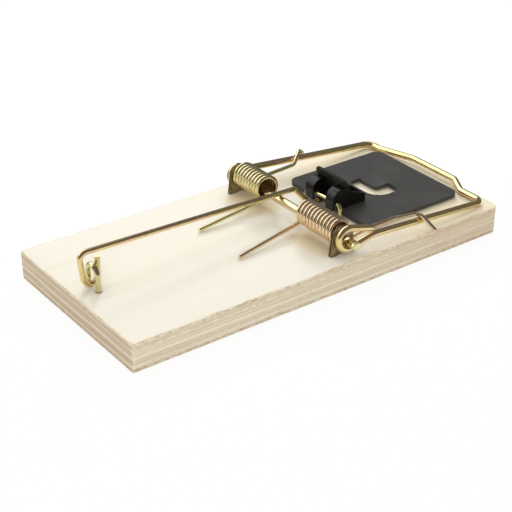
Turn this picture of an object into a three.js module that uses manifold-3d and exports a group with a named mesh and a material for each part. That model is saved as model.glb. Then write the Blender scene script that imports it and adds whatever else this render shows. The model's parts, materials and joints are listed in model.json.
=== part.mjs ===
// A rat-size snap trap on a plywood board: bail, two torsion springs, lock bar and bait pedal.
// Millimetres, +Z up. The board's underside lies on z = 0, its centre over the origin.
// +X runs to the bait end, -X to the lock bar's staple.
import * as THREE from "three";
import { mergeVertices } from "three/addons/utils/BufferGeometryUtils.js";
import Module from "manifold-3d";

const wasm = await Module();
wasm.setup();

// Board
const boardLength = 178;
const boardWidth = 83;
const boardThick = 12;
const boardCornerRadius = 1.2;
const boardEdgeBreak = 0.5;

// Clearances
const seatGap = 0.25;
const runGap = 0.3;

// Wires and rod
const bailWire = 2.8;
const rodWire = 3.5;
const springWire = 1.4;
const lockBarWire = 2.2;
const lockStapleWire = 2.2;
const pedalStapleWire = 1.8;

// Pivot rod of the bail
const rodX = 11.0;
const rodRise = 6.8;
const rodZ = boardThick + rodRise;
const rodHeadLength = 1.4;
const rodNearReach = 5.9;
const rodFarReach = 3.2;
const rodHeadTaper = 0.6;
const rodHeadSpread = 1.25;
const rodHeadSquash = 0.8;

// Brackets
const bracketThick = 1.2;
const bracketHalfWidth = 6.1;
const bracketTopRadius = 5.2;
const bracketMiddleY = 33.6;
const prongWidth = 3.4;
const prongLength = 7.5;
const prongPointLength = 2.4;
const prongInset = 0.6;

// Bail: the near arm passes under the rod into a wide open eye, the far arm over it into a tight one
const bailNearY = 37.0;
const bailFarY = 35.9;
const bailFarCornerY = 34.8;
const bailEndBarX = 83.7;
const bailMiddleReach = 3.7;
const bailMiddleBarX = bailEndBarX + bailMiddleReach;
const bailMiddleRise = 1.1;
const bailMiddleNearY = 16.4;
const bailMiddleFarY = 9.4;
const bailNearJogLength = 7.5;
const bailFarJogLength = 19;
const bailCornerRadius = 4.2;
const bailJogRadius = 4.5;
const bailKneeRadius = 14;
const bailRestGap = 0.2;
const wideEyeRadius = 4.45;
const wideEyeShiftX = 0.2;
const wideEyeShiftZ = 0.75;
const nearKneeX = 24;
const nearKneeDrop = 1.2;
const nearKneeZ = rodZ - nearKneeDrop;
const tailReach = 12.6;
const tailRise = 1.8;
const tailX = rodX + tailReach;
const tailZ = rodZ + tailRise;
const farKneeX = 17.5;
const farKneeRise = 1.0;
const farKneeZ = rodZ + farKneeRise;

// Torsion springs: the near one has more turns and reaches further in
const nearTurns = 11;
const nearInnerY = 9.9;
const farTurns = 9;
const farInnerY = 14.8;
const springMeanRadius = 4.6;
const springAxisRise = 1.5;
const springAxisForward = 0.4;
const springSteps = 8;
const springSides = 5;
const footTipX = -24.2;
const nearFootTipY = 14.6;
const farFootTipY = 12.6;
const footBendBack = 2.6;
const footBendIn = 0.2;
const hookBendForward = 3.6;
const hookBendRise = 0.1;
const coilLevelOff = 0.05;

// Hooks of the springs: along the arm, then out over it and down
const nearHookStartX = 28;
const nearHookStartY = 32.6;
const nearHookStartDrop = 0.7;
const nearHookKneeX = 38.5;
const nearHookKneeY = 33.0;
const nearHookKneeDrop = 0.4;
const nearHookCrestX = 47.3;
const nearHookCrestRise = 0.4;
const nearHookTurnX = 48.3;
const nearHookTurnRise = 0.2;
const nearHookCrestIn = 1.2;
const nearHookTipX = 51.2;
const nearHookTipOut = 6.8;
const nearHookTipRise = 1.2;
const farHookStartX = 25.2;
const farHookStartY = 32.0;
const farHookStartDrop = 2.7;
const farHookKneeX = 38.6;
const farHookKneeY = 32.2;
const farHookKneeDrop = 2.0;
const farHookRiseX = 40.6;
const farHookRiseIn = 2.9;
const farHookRiseDrop = 0.5;
const farHookCrestX = 43.9;
const farHookCrestIn = 0.3;
const farHookCrestRise = 0.9;
const farHookTipX = 47.4;
const farHookTipOut = 1.9;
const farHookTipDrop = 1.8;

// Pedal staple, which is the pedal's hinge pin
const pedalPinX = 28.5;
const pedalPinRise = 5.8;
const pedalPinZ = boardThick + pedalPinRise;
const pedalStapleMiddleY = -0.6;
const pedalStapleHalf = 10.9;
const pedalStapleBend = 2.1;
const stapleDepth = 8.5;

// Pedal
const pedalPlateRise = 2.3;
const pedalPlateTop = boardThick + pedalPlateRise;
const pedalPlateThick = 1.5;
const pedalPlateStartX = 30.6;
const pedalEndGap = 1.2;
const pedalPlateEndX = bailEndBarX - bailWire / 2 - pedalEndGap;
const pedalPlateHalf = 26;
const pedalPlateCorner = 4.0;
const pedalPipRadius = 1.6;
const pedalPipInset = 8;
const pedalRestGap = 0.1;
const earInnerY = 4.2;
const earOuterY = 9.0;
const earFrontReach = 1.95;
const earFootDrop = 2.9;
const earFrontX = pedalPinX - earFrontReach;
const earFootZ = pedalPinZ - earFootDrop;
const earArcRise = 1.2;
const earBackDepth = 0.6;
const earMouthChamfer = 0.6;
const earRadius = 4.4;
const catchFrontX = 32;
const catchThick = 1.6;
const catchRise = 14.6;
const catchTopZ = boardThick + catchRise;
const catchLipHeight = 2.2;
const catchUndercut = 1.0;
const catchLipSlope = 0.4;
const catchNotchBelowLip = 1.0;
const catchHalf = 8.8;
const boxEndX = 43.9;
const boxWall = 1.1;
const boxEndRise = 6.1;
const boxShoulderRise = 9.0;
const boxEndTopZ = boardThick + boxEndRise;
const boxShoulderZ = boardThick + boxShoulderRise;
const boxShoulderX = 36.2;
const boxStepRise = 12.2;
const boxStepSlope = 0.6;
const boxStepZ = boardThick + boxStepRise;
const boxStepX = 35.2;
const baitSlotStartX = 49.6;
const baitSlotEndX = 63.0;
const baitSlotHalf = 9.2;
const baitSlotCorner = 3.4;
const baitSlotNearCorner = 7.0;
const baitTabTipX = 56.2;
const baitTabFarY = 9.6;
const baitTabNearY = -1.6;
const baitTabCorner = 1.8;
const baitTabRoot = 2;
const baitDishX = 57.4;
const baitDishY = 4.0;
const baitDishRadius = 6.8;
const baitDishDepth = 0.6;

// Lock bar and its staple
const lockStapleInset = 9.2;
const lockStapleX = -boardLength / 2 + lockStapleInset;
const lockStapleY = 0.2;
const lockStapleHalf = 3.6;
const lockStapleRise = 9.5;
const lockStapleTopZ = boardThick + lockStapleRise;
const lockStapleBend = lockStapleHalf - 0.05;
const lockEyeBackReach = 4.8;
const lockEyeFrontReach = 2.6;
const lockEyeLeftX = lockStapleX - lockEyeBackReach;
const lockEyeRightX = lockStapleX + lockEyeFrontReach;
const lockEyeLeftY = 0.2;
const lockEyeRightY = 1.0;
const lockEyeFootRise = 0.6;
const lockEyeTopRise = 15.9;
const lockEyeEndRise = 2.6;
const lockEyeFootZ = boardThick + lockEyeFootRise;
const lockEyeTopZ = boardThick + lockEyeTopRise;
const lockEyeEndZ = lockStapleTopZ + lockEyeEndRise;
const lockEyeFrontFootRise = 2.6;
const lockEyeBackFootRise = 3.8;
const lockEyeBackFootInset = 0.7;
const lockEyeLean = 0.5;
const lockEyeFootRadius = 2.4;
const lockEyeBackRadius = 4;
const lockEyeTopRadius = 2.6;
const lockBendX = 18.6;
const lockBendY = 6.1;
const lockBendRise = 2.6;
const lockBendZ = rodZ + lockBendRise;
const lockBendRadius = 2.2;
const lockNoseX = 22.4;
const lockNoseY = 2.0;
const lockNoseRise = 3.9;
const lockNoseZ = boardThick + lockNoseRise;
const lockNoseRadius = 2.0;
const lockTipGap = 0.6;
const lockTipX = pedalPinX - pedalStapleWire / 2 - lockTipGap;
const lockTipY = 0.9;
const lockTipRise = 3.6;
const lockTipZ = boardThick + lockTipRise;

// One material per piece
function paint(color, roughness, metalness) {
  return new THREE.MeshStandardMaterial({ color, roughness, metalness });
}

const wood = paint(0xdcc9a3, 0.75, 0);
const goldZinc = paint(0xb9964f, 0.32, 0.9);
const greenZinc = paint(0xb3ab57, 0.36, 0.9);
const dullSteel = paint(0x7d715c, 0.45, 0.9);
const charcoal = paint(0x34353a, 0.6, 0);

const product = new THREE.Group();
product.name = "snap_trap";

function addPiece(name, geometry, material) {
  geometry.computeVertexNormals();
  const mesh = new THREE.Mesh(geometry, material);
  mesh.name = name;
  product.add(mesh);
  return mesh;
}

function point(x, y, z) {
  return new THREE.Vector3(x, y, z);
}

// Geometry to a boolean solid and back
function toSolid(geometry) {
  const plain = geometry.index ? geometry.clone() : geometry;
  plain.deleteAttribute("normal");
  plain.deleteAttribute("uv");
  const merged = mergeVertices(plain, 1e-4);
  const vertProperties = new Float32Array(merged.attributes.position.array);
  const triVerts = new Uint32Array(merged.index.array);
  return new wasm.Manifold(new wasm.Mesh({ numProp: 3, vertProperties, triVerts }));
}

function toGeometry(solid) {
  const mesh = solid.getMesh();
  const positions = [];
  for (let i = 0; i < mesh.vertProperties.length; i += mesh.numProp) {
    positions.push(...mesh.vertProperties.slice(i, i + 3));
  }
  const geometry = new THREE.BufferGeometry();
  geometry.setAttribute("position", new THREE.Float32BufferAttribute(positions, 3));
  geometry.setIndex(Array.from(mesh.triVerts));
  return geometry.toNonIndexed();
}

// A path through the given corners, each rounded by its radius
function roundedPath(corners, radii, degreesPerStep) {
  const path = [corners[0].clone()];
  for (let i = 1; i < corners.length - 1; i += 1) {
    const arriving = corners[i].clone().sub(corners[i - 1]).normalize();
    const leaving = corners[i + 1].clone().sub(corners[i]).normalize();
    const turn = arriving.angleTo(leaving);
    const radius = radii[i];
    if (turn < 0.02 || radius === 0) {
      path.push(corners[i].clone());
      continue;
    }
    const reach = radius * Math.tan(turn / 2);
    const inward = leaving.clone().sub(arriving).normalize();
    const centre = corners[i].clone().addScaledVector(inward, radius / Math.cos(turn / 2));
    const start = corners[i].clone().addScaledVector(arriving, -reach);
    const spin = new THREE.Vector3().crossVectors(arriving, leaving).normalize();
    const steps = Math.max(2, Math.ceil((turn * 180) / Math.PI / degreesPerStep));
    for (let k = 0; k <= steps; k += 1) {
      const spoke = start.clone().sub(centre);
      spoke.applyAxisAngle(spin, (turn * k) / steps);
      path.push(centre.clone().add(spoke));
    }
  }
  path.push(corners[corners.length - 1].clone());
  return path;
}

// A round wire along a path, closed by flat ends; spread and squash may shape each ring
function wireGeometry(path, diameter, sides, ringScale) {
  const positions = [];
  const faces = [];
  const tangents = path.map((here, i) => {
    const before = path[Math.max(i - 1, 0)];
    const after = path[Math.min(i + 1, path.length - 1)];
    const into = here.clone().sub(before).normalize();
    const out = after.clone().sub(here).normalize();
    return into.add(out).normalize();
  });
  let across = new THREE.Vector3(0, 0, 1).cross(tangents[0]);
  if (across.length() < 0.1) {
    across = new THREE.Vector3(0, 1, 0).cross(tangents[0]);
  }
  across.normalize();
  for (let i = 0; i < path.length; i += 1) {
    if (i > 0) {
      const turning = new THREE.Quaternion().setFromUnitVectors(tangents[i - 1], tangents[i]);
      across.applyQuaternion(turning);
    }
    const upward = new THREE.Vector3().crossVectors(tangents[i], across).normalize();
    const scale = ringScale ? ringScale(i) : [1, 1];
    for (let k = 0; k < sides; k += 1) {
      const angle = (2 * Math.PI * k) / sides;
      const spot = path[i].clone();
      spot.addScaledVector(across, (diameter / 2) * scale[0] * Math.cos(angle));
      spot.addScaledVector(upward, (diameter / 2) * scale[1] * Math.sin(angle));
      positions.push(spot.x, spot.y, spot.z);
    }
  }
  for (let i = 0; i < path.length - 1; i += 1) {
    for (let k = 0; k < sides; k += 1) {
      const a = i * sides + k;
      const b = i * sides + ((k + 1) % sides);
      faces.push(a, b, b + sides, a, b + sides, a + sides);
    }
  }
  const last = (path.length - 1) * sides;
  for (let k = 1; k < sides - 1; k += 1) {
    faces.push(0, k + 1, k);
    faces.push(last, last + k, last + k + 1);
  }
  const geometry = new THREE.BufferGeometry();
  geometry.setAttribute("position", new THREE.Float32BufferAttribute(positions, 3));
  geometry.setIndex(faces);
  return geometry;
}

// The least distance between two stretches of one path that are over a tube's width apart along it
function leastSelfGap(path, diameter) {
  const fine = [];
  for (let i = 0; i < path.length - 1; i += 1) {
    for (let k = 0; k < 4; k += 1) {
      fine.push(path[i].clone().lerp(path[i + 1], k / 4));
    }
  }
  const along = [0];
  for (let i = 1; i < fine.length; i += 1) {
    along.push(along[i - 1] + fine[i].distanceTo(fine[i - 1]));
  }
  let least = Infinity;
  for (let i = 0; i < fine.length; i += 1) {
    for (let j = i + 1; j < fine.length; j += 1) {
      if (along[j] - along[i] > 4 * diameter) {
        least = Math.min(least, fine[i].distanceTo(fine[j]) - diameter);
      }
    }
  }
  return least;
}

// An outline in the XZ plane made solid between two values of y
function sideSolid(outline, startY, endY) {
  const shape = new THREE.Shape(outline.map(([x, z]) => new THREE.Vector2(x, z)));
  const depth = endY - startY;
  const geometry = new THREE.ExtrudeGeometry(shape, { depth, bevelEnabled: false });
  geometry.rotateX(Math.PI / 2);
  geometry.translate(0, endY, 0);
  return toSolid(geometry);
}

// An outline in the XY plane made solid between two heights
function flatSolid(shape, startZ, endZ, curveSegments) {
  const depth = endZ - startZ;
  const geometry = new THREE.ExtrudeGeometry(shape, { depth, bevelEnabled: false, curveSegments });
  geometry.translate(0, 0, startZ);
  return toSolid(geometry);
}

// A rectangle with round corners, the one at the start of both sides on its own radius if given
function roundedRectangle(startX, endX, startY, endY, radius, startRadius = radius) {
  const shape = new THREE.Shape();
  shape.moveTo(startX + startRadius, startY);
  shape.lineTo(endX - radius, startY);
  shape.absarc(endX - radius, startY + radius, radius, -Math.PI / 2, 0, false);
  shape.lineTo(endX, endY - radius);
  shape.absarc(endX - radius, endY - radius, radius, 0, Math.PI / 2, false);
  shape.lineTo(startX + radius, endY);
  shape.absarc(startX + radius, endY - radius, radius, Math.PI / 2, Math.PI, false);
  shape.lineTo(startX, startY + startRadius);
  shape.absarc(startX + startRadius, startY + startRadius, startRadius, Math.PI, 1.5 * Math.PI, false);
  return shape;
}

function boxSolid(startX, endX, startY, endY, startZ, endZ) {
  const geometry = new THREE.BoxGeometry(endX - startX, endY - startY, endZ - startZ);
  geometry.translate((startX + endX) / 2, (startY + endY) / 2, (startZ + endZ) / 2);
  return toSolid(geometry);
}

function postSolid(x, y, radius, startZ, endZ, sides) {
  const geometry = new THREE.CylinderGeometry(radius, radius, endZ - startZ, sides);
  geometry.rotateX(Math.PI / 2);
  geometry.translate(x, y, (startZ + endZ) / 2);
  return toSolid(geometry);
}

// Board with a pocket for every driven leg and prong
const legSides = 16;
const prongMiddles = [-1, 1].map((side) => rodX + side * (bracketHalfWidth - prongWidth / 2 - prongInset));

function makeBoard() {
  const straight = boardThick - 2 * boardEdgeBreak;
  const outline = roundedRectangle(
    -boardLength / 2 + boardEdgeBreak,
    boardLength / 2 - boardEdgeBreak,
    -boardWidth / 2 + boardEdgeBreak,
    boardWidth / 2 - boardEdgeBreak,
    boardCornerRadius - boardEdgeBreak,
  );
  const slab = new THREE.ExtrudeGeometry(outline, {
    depth: straight,
    bevelEnabled: true,
    bevelThickness: boardEdgeBreak,
    bevelSize: boardEdgeBreak,
    bevelSegments: 1,
    curveSegments: 4,
  });
  slab.translate(0, 0, boardEdgeBreak);
  let board = toSolid(slab);
  const pocketFloor = boardThick - stapleDepth - seatGap;
  const above = boardThick + 1;
  for (const side of [-1, 1]) {
    const pedalLeg = pedalStapleWire / 2 + seatGap;
    const lockLeg = lockStapleWire / 2 + seatGap;
    board = board.subtract(
      postSolid(
        pedalPinX,
        pedalStapleMiddleY + side * pedalStapleHalf,
        pedalLeg,
        pocketFloor,
        above,
        legSides,
      ),
    );
    board = board.subtract(
      postSolid(lockStapleX, lockStapleY + side * lockStapleHalf, lockLeg, pocketFloor, above, legSides),
    );
    for (const middle of prongMiddles) {
      board = board.subtract(
        boxSolid(
          middle - prongWidth / 2 - seatGap,
          middle + prongWidth / 2 + seatGap,
          side * bracketMiddleY - bracketThick / 2 - seatGap,
          side * bracketMiddleY + bracketThick / 2 + seatGap,
          boardThick - prongLength - seatGap,
          above,
        ),
      );
    }
  }
  return toGeometry(board);
}

// Bracket: upright plate that narrows to a round top about the rod, and two driven prongs
function makeBracket(side) {
  const outline = [];
  const foot = boardThick + seatGap / 2;
  const left = prongMiddles[0];
  const right = prongMiddles[1];
  const half = prongWidth / 2;
  const pointZ = boardThick - prongLength;
  const shoulderZ = pointZ + prongPointLength;
  outline.push([rodX - bracketHalfWidth, foot]);
  for (const middle of [left, right]) {
    outline.push([middle - half, foot]);
    outline.push([middle - half, shoulderZ]);
    outline.push([middle - half / 3, pointZ]);
    outline.push([middle + half / 3, pointZ]);
    outline.push([middle + half, shoulderZ]);
    outline.push([middle + half, foot]);
  }
  outline.push([rodX + bracketHalfWidth, foot]);
  const arcSteps = 16;
  for (let k = 0; k <= arcSteps; k += 1) {
    const angle = (Math.PI * k) / arcSteps;
    outline.push([
      rodX + bracketTopRadius * Math.cos(angle),
      rodZ + bracketTopRadius * Math.sin(angle),
    ]);
  }
  const middleY = side * bracketMiddleY;
  let plate = sideSolid(outline, middleY - bracketThick / 2, middleY + bracketThick / 2);
  const bore = new THREE.CylinderGeometry(
    rodWire / 2 + seatGap,
    rodWire / 2 + seatGap,
    bracketThick + 2,
    20,
  );
  bore.translate(rodX, middleY, rodZ);
  plate = plate.subtract(toSolid(bore));
  return toGeometry(plate);
}

// Pivot rod with flattened ends that keep the bail's eyes on
function makeRod() {
  const nearEnd = -bailNearY - rodNearReach;
  const farEnd = bailFarY + rodFarReach;
  const taper = rodHeadLength + rodHeadTaper;
  const nearStations = [nearEnd, nearEnd + rodHeadLength, nearEnd + taper];
  const farStations = [farEnd - taper, farEnd - rodHeadLength, farEnd];
  const path = [...nearStations, ...farStations].map((y) => point(rodX, y, rodZ));
  const headRings = [0, 1, path.length - 2, path.length - 1];
  const ringScale = (i) => (headRings.includes(i) ? [rodHeadSpread, rodHeadSquash] : [1, 1]);
  return wireGeometry(path, rodWire, 16, ringScale);
}

// Part of a circle in the XZ plane at the given y, from one angle to another in degrees
function arcPoints(x, y, z, radius, startAngle, endAngle, steps) {
  const spots = [];
  for (let k = 0; k <= steps; k += 1) {
    const turn = ((startAngle + ((endAngle - startAngle) * k) / steps) * Math.PI) / 180;
    spots.push(point(x + radius * Math.cos(turn), y, z + radius * Math.sin(turn)));
  }
  return spots;
}

// Bail: one wire from eye to eye round the bait end
const barZ = boardThick + bailRestGap + bailWire / 2;

function makeBail() {
  const wideEye = arcPoints(
    rodX + wideEyeShiftX,
    -bailNearY,
    rodZ + wideEyeShiftZ,
    wideEyeRadius,
    80,
    284,
    14,
  );
  const tightRadius = (rodWire + bailWire) / 2 + runGap;
  const tightEye = arcPoints(rodX, bailFarY, rodZ, tightRadius, 76, 318, 16);
  const midZ = barZ + bailMiddleRise;
  const frame = [
    wideEye[wideEye.length - 1],
    point(nearKneeX, -bailNearY, nearKneeZ),
    point(bailEndBarX, -bailNearY, barZ),
    point(bailEndBarX, -bailMiddleNearY - bailNearJogLength, barZ),
    point(bailMiddleBarX, -bailMiddleNearY, midZ),
    point(bailMiddleBarX, bailMiddleFarY, midZ),
    point(bailEndBarX, bailMiddleFarY + bailFarJogLength, barZ),
    point(bailEndBarX, bailFarCornerY, barZ),
    point(farKneeX, bailFarY, farKneeZ),
    tightEye[0],
  ];
  const jogs = [bailJogRadius, bailJogRadius, bailJogRadius, bailJogRadius];
  const radii = [0, bailKneeRadius, bailCornerRadius, ...jogs, bailCornerRadius, bailKneeRadius, 0];
  const tail = point(tailX, -bailNearY, tailZ);
  const middle = roundedPath(frame, radii, 15);
  const path = [tail, ...wideEye.slice(0, -1), ...middle, ...tightEye.slice(1)];
  return wireGeometry(path, bailWire, 12);
}

// Torsion spring: foot on the board, close coil round the rod, hook over the bail's arm
function springPath(side, turns, innerY, footTipY, hook) {
  const axisX = rodX + springAxisForward;
  const axisZ = rodZ + springAxisRise;
  const outerY = bracketMiddleY - bracketThick / 2 - runGap - springWire / 2;
  const steps = turns * springSteps;
  const bottomZ = axisZ - springMeanRadius;
  const footZ = boardThick + seatGap + springWire / 2;
  const path = [
    point(footTipX, side * footTipY, footZ),
    point(axisX - footBendBack, side * (innerY - footBendIn), bottomZ + coilLevelOff),
  ];
  for (let k = 0; k <= steps; k += 1) {
    const angle = (2 * Math.PI * k) / springSteps;
    path.push(
      point(
        axisX + springMeanRadius * Math.sin(angle),
        side * (innerY + ((outerY - innerY) * k) / steps),
        axisZ - springMeanRadius * Math.cos(angle),
      ),
    );
  }
  path.push(point(axisX + hookBendForward, side * (outerY + coilLevelOff), bottomZ + hookBendRise));
  for (const [x, y, z] of hook) {
    path.push(point(x, side * y, z));
  }
  return path;
}

// Hook of each spring, from the coil out over its arm; the arm's height there sets the hook's
function armHeight(x, kneeX, kneeZ) {
  return kneeZ + ((barZ - kneeZ) * (x - kneeX)) / (bailEndBarX - kneeX);
}

const overArm = (bailWire + springWire) / 2 + runGap;
const nearOver = armHeight(nearHookTurnX, nearKneeX, nearKneeZ) + overArm;
const nearHook = [
  [nearHookStartX, nearHookStartY, rodZ - nearHookStartDrop],
  [nearHookKneeX, nearHookKneeY, rodZ - nearHookKneeDrop],
  [nearHookCrestX, bailNearY - nearHookCrestIn, nearOver + nearHookCrestRise],
  [nearHookTurnX, bailNearY + nearHookCrestIn, nearOver + nearHookTurnRise],
  [nearHookTipX, bailNearY + nearHookTipOut, boardThick + nearHookTipRise],
];
const farOver = armHeight(farHookCrestX, farKneeX, farKneeZ) + overArm;
const farHook = [
  [farHookStartX, farHookStartY, rodZ - farHookStartDrop],
  [farHookKneeX, farHookKneeY, rodZ - farHookKneeDrop],
  [farHookRiseX, bailFarY - farHookRiseIn, farOver - farHookRiseDrop],
  [farHookCrestX, bailFarY - farHookCrestIn, farOver + farHookCrestRise],
  [farHookTipX, bailFarY + farHookTipOut, farOver - farHookTipDrop],
];

// Staple: two driven legs joined by a span, its corners rounded
function makeStaple(x, middleY, half, topZ, diameter, bend) {
  const footZ = boardThick - stapleDepth;
  const corners = [
    point(x, middleY - half, footZ),
    point(x, middleY - half, topZ),
    point(x, middleY + half, topZ),
    point(x, middleY + half, footZ),
  ];
  return wireGeometry(roundedPath(corners, [0, bend, bend, 0], 15), diameter, 12);
}

// Pedal: plate, catch wall with its lip, hollow box behind it and two hooked ears
function earOutline() {
  const arcX = earFrontX + earRadius;
  const arcZ = pedalPinZ + earArcRise;
  const seat = pedalStapleWire / 2 + runGap;
  const backX = catchFrontX + catchUndercut + earBackDepth;
  const outline = [[earFrontX, earFootZ]];
  outline.push([pedalPinX - seat, earFootZ]);
  outline.push([pedalPinX - seat, pedalPinZ]);
  const seatSteps = 10;
  for (let k = 1; k <= seatSteps; k += 1) {
    const angle = Math.PI - (Math.PI * k) / seatSteps;
    outline.push([pedalPinX + seat * Math.cos(angle), pedalPinZ + seat * Math.sin(angle)]);
  }
  outline.push([pedalPinX + seat, pedalPlateTop]);
  outline.push([pedalPinX + seat + earMouthChamfer, pedalPlateTop - pedalPlateThick]);
  outline.push([backX, pedalPlateTop - pedalPlateThick]);
  outline.push([backX, arcZ + earRadius]);
  const arcSteps = 8;
  for (let k = 0; k <= arcSteps; k += 1) {
    const angle = Math.PI / 2 + (Math.PI / 2) * (k / arcSteps);
    outline.push([arcX + earRadius * Math.cos(angle), arcZ + earRadius * Math.sin(angle)]);
  }
  return outline;
}

// Shallow round dish pressed into the tab and the plate about it
function baitDish() {
  const sphere = (baitDishRadius ** 2 + baitDishDepth ** 2) / (2 * baitDishDepth);
  const halfAngle = Math.asin(baitDishRadius / sphere);
  const rings = 5;
  const profile = [];
  for (let k = 0; k <= rings; k += 1) {
    const angle = (halfAngle * k) / rings;
    const drop = baitDishDepth - sphere * (1 - Math.cos(angle));
    profile.push(new THREE.Vector2(sphere * Math.sin(angle), -drop));
  }
  profile.push(new THREE.Vector2(baitDishRadius, 1));
  profile.push(new THREE.Vector2(0, 1));
  const dish = new THREE.LatheGeometry(profile, 32);
  dish.rotateX(Math.PI / 2);
  dish.translate(baitDishX, baitDishY, pedalPlateTop);
  return toSolid(dish);
}

function makePedal() {
  const plateBottom = pedalPlateTop - pedalPlateThick;
  const plateShape = roundedRectangle(
    pedalPlateStartX,
    pedalPlateEndX,
    -pedalPlateHalf,
    pedalPlateHalf,
    pedalPlateCorner,
  );
  let pedal = flatSolid(plateShape, plateBottom, pedalPlateTop, 6);

  const slotShape = roundedRectangle(
    baitSlotStartX,
    baitSlotEndX,
    -baitSlotHalf,
    baitSlotHalf,
    baitSlotCorner,
    baitSlotNearCorner,
  );
  const slot = flatSolid(slotShape, plateBottom - 1, pedalPlateTop + 1, 6);
  pedal = pedal.subtract(slot);

  const tabShape = roundedRectangle(
    baitTabTipX,
    baitSlotEndX + baitTabRoot,
    baitTabNearY,
    baitTabFarY,
    baitTabCorner,
  );
  const tab = flatSolid(tabShape, plateBottom, pedalPlateTop, 6);
  pedal = pedal.add(tab);
  pedal = pedal.subtract(baitDish());

  const bodyOutline = [
    [catchFrontX + catchUndercut, plateBottom],
    [boxEndX, plateBottom],
    [boxEndX, boxEndTopZ],
    [boxShoulderX, boxShoulderZ],
    [boxStepX, boxStepZ],
    [catchFrontX + catchThick, boxStepZ + boxStepSlope],
    [catchFrontX + catchThick, catchTopZ],
    [catchFrontX, catchTopZ],
    [catchFrontX, catchTopZ - catchLipHeight],
    [catchFrontX + catchUndercut, catchTopZ - catchLipHeight - catchLipSlope],
  ];
  pedal = pedal.add(sideSolid(bodyOutline, -catchHalf, catchHalf));
  pedal = pedal.subtract(
    boxSolid(
      catchFrontX + catchThick + boxWall,
      boxEndX - boxWall,
      -catchHalf + boxWall,
      catchHalf - boxWall,
      pedalPlateTop,
      catchTopZ + 1,
    ),
  );

  pedal = pedal.subtract(
    boxSolid(
      pedalPlateStartX - 1,
      catchFrontX + catchUndercut,
      -earInnerY,
      earInnerY,
      plateBottom - 1,
      catchTopZ - catchLipHeight - catchNotchBelowLip,
    ),
  );

  for (const side of [-1, 1]) {
    const startY = Math.min(side * earInnerY, side * earOuterY);
    const endY = Math.max(side * earInnerY, side * earOuterY);
    pedal = pedal.add(sideSolid(earOutline(), startY, endY));
    const pipBottom = boardThick + pedalRestGap;
    pedal = pedal.add(
      postSolid(
        pedalPlateEndX - pedalPipInset,
        side * (pedalPlateHalf - pedalPipInset),
        pedalPipRadius,
        pipBottom,
        plateBottom + 0.2,
        12,
      ),
    );
  }
  return toGeometry(pedal);
}

// Lock bar: open eye through its staple, long run over the rod, then a crank and a nose
function makeLockBar() {
  const middleX = (lockEyeLeftX + lockEyeRightX) / 2;
  const middleY = (lockEyeLeftY + lockEyeRightY) / 2;
  const corners = [
    point(lockEyeRightX, lockEyeRightY, lockEyeEndZ),
    point(lockEyeRightX, lockEyeRightY, lockEyeFootZ + lockEyeFrontFootRise),
    point(middleX, middleY, lockEyeFootZ),
    point(lockEyeLeftX + lockEyeBackFootInset, lockEyeLeftY, lockEyeFootZ + lockEyeBackFootRise),
    point(lockEyeLeftX - lockEyeLean, lockEyeLeftY, lockEyeTopZ),
    point(lockBendX, lockBendY, lockBendZ),
    point(lockNoseX, lockNoseY, lockNoseZ),
    point(lockTipX, lockTipY, lockTipZ),
  ];
  const eyeRadii = [lockEyeFootRadius, lockEyeFootRadius, lockEyeBackRadius, lockEyeTopRadius];
  const radii = [0, ...eyeRadii, lockBendRadius, lockNoseRadius, 0];
  return wireGeometry(roundedPath(corners, radii, 15), lockBarWire, 10);
}

addPiece("base_board", makeBoard(), wood);
for (const [label, side] of [
  ["near", -1],
  ["far", 1],
]) {
  addPiece("bracket_" + label, makeBracket(side), dullSteel);
}
addPiece("pivot_rod", makeRod(), goldZinc);
addPiece("bail", makeBail(), goldZinc);
const springPaths = {
  spring_near: springPath(-1, nearTurns, nearInnerY, nearFootTipY, nearHook),
  spring_far: springPath(1, farTurns, farInnerY, farFootTipY, farHook),
};
for (const [name, path] of Object.entries(springPaths)) {
  console.log(name + " least gap to itself: " + leastSelfGap(path, springWire).toFixed(3));
  addPiece(name, wireGeometry(path, springWire, springSides), goldZinc);
}
const pedalStaple = makeStaple(
  pedalPinX,
  pedalStapleMiddleY,
  pedalStapleHalf,
  pedalPinZ,
  pedalStapleWire,
  pedalStapleBend,
);
addPiece("pedal_staple", pedalStaple, greenZinc);
const lockStaple = makeStaple(
  lockStapleX,
  lockStapleY,
  lockStapleHalf,
  lockStapleTopZ,
  lockStapleWire,
  lockStapleBend,
);
addPiece("lock_staple", lockStaple, greenZinc);
addPiece("pedal", makePedal(), charcoal);
addPiece("lock_bar", makeLockBar(), goldZinc);

export default product;
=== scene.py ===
"""Finishes and fine meshes of a rat-size snap trap, made round its packed construction model.

Metres, +Z up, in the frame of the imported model: the board's underside lies on z = 0 and +X runs
to the bait end. Sizes that a person would read off a drawing are written in millimetres.
"""

import json
import logging
import math
from abc import ABC, abstractmethod
from dataclasses import dataclass, replace
from enum import Enum
from typing import Callable, Sequence, Union

import bmesh
import bpy
from mathutils import Euler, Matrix, Quaternion, Vector, noise

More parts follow.
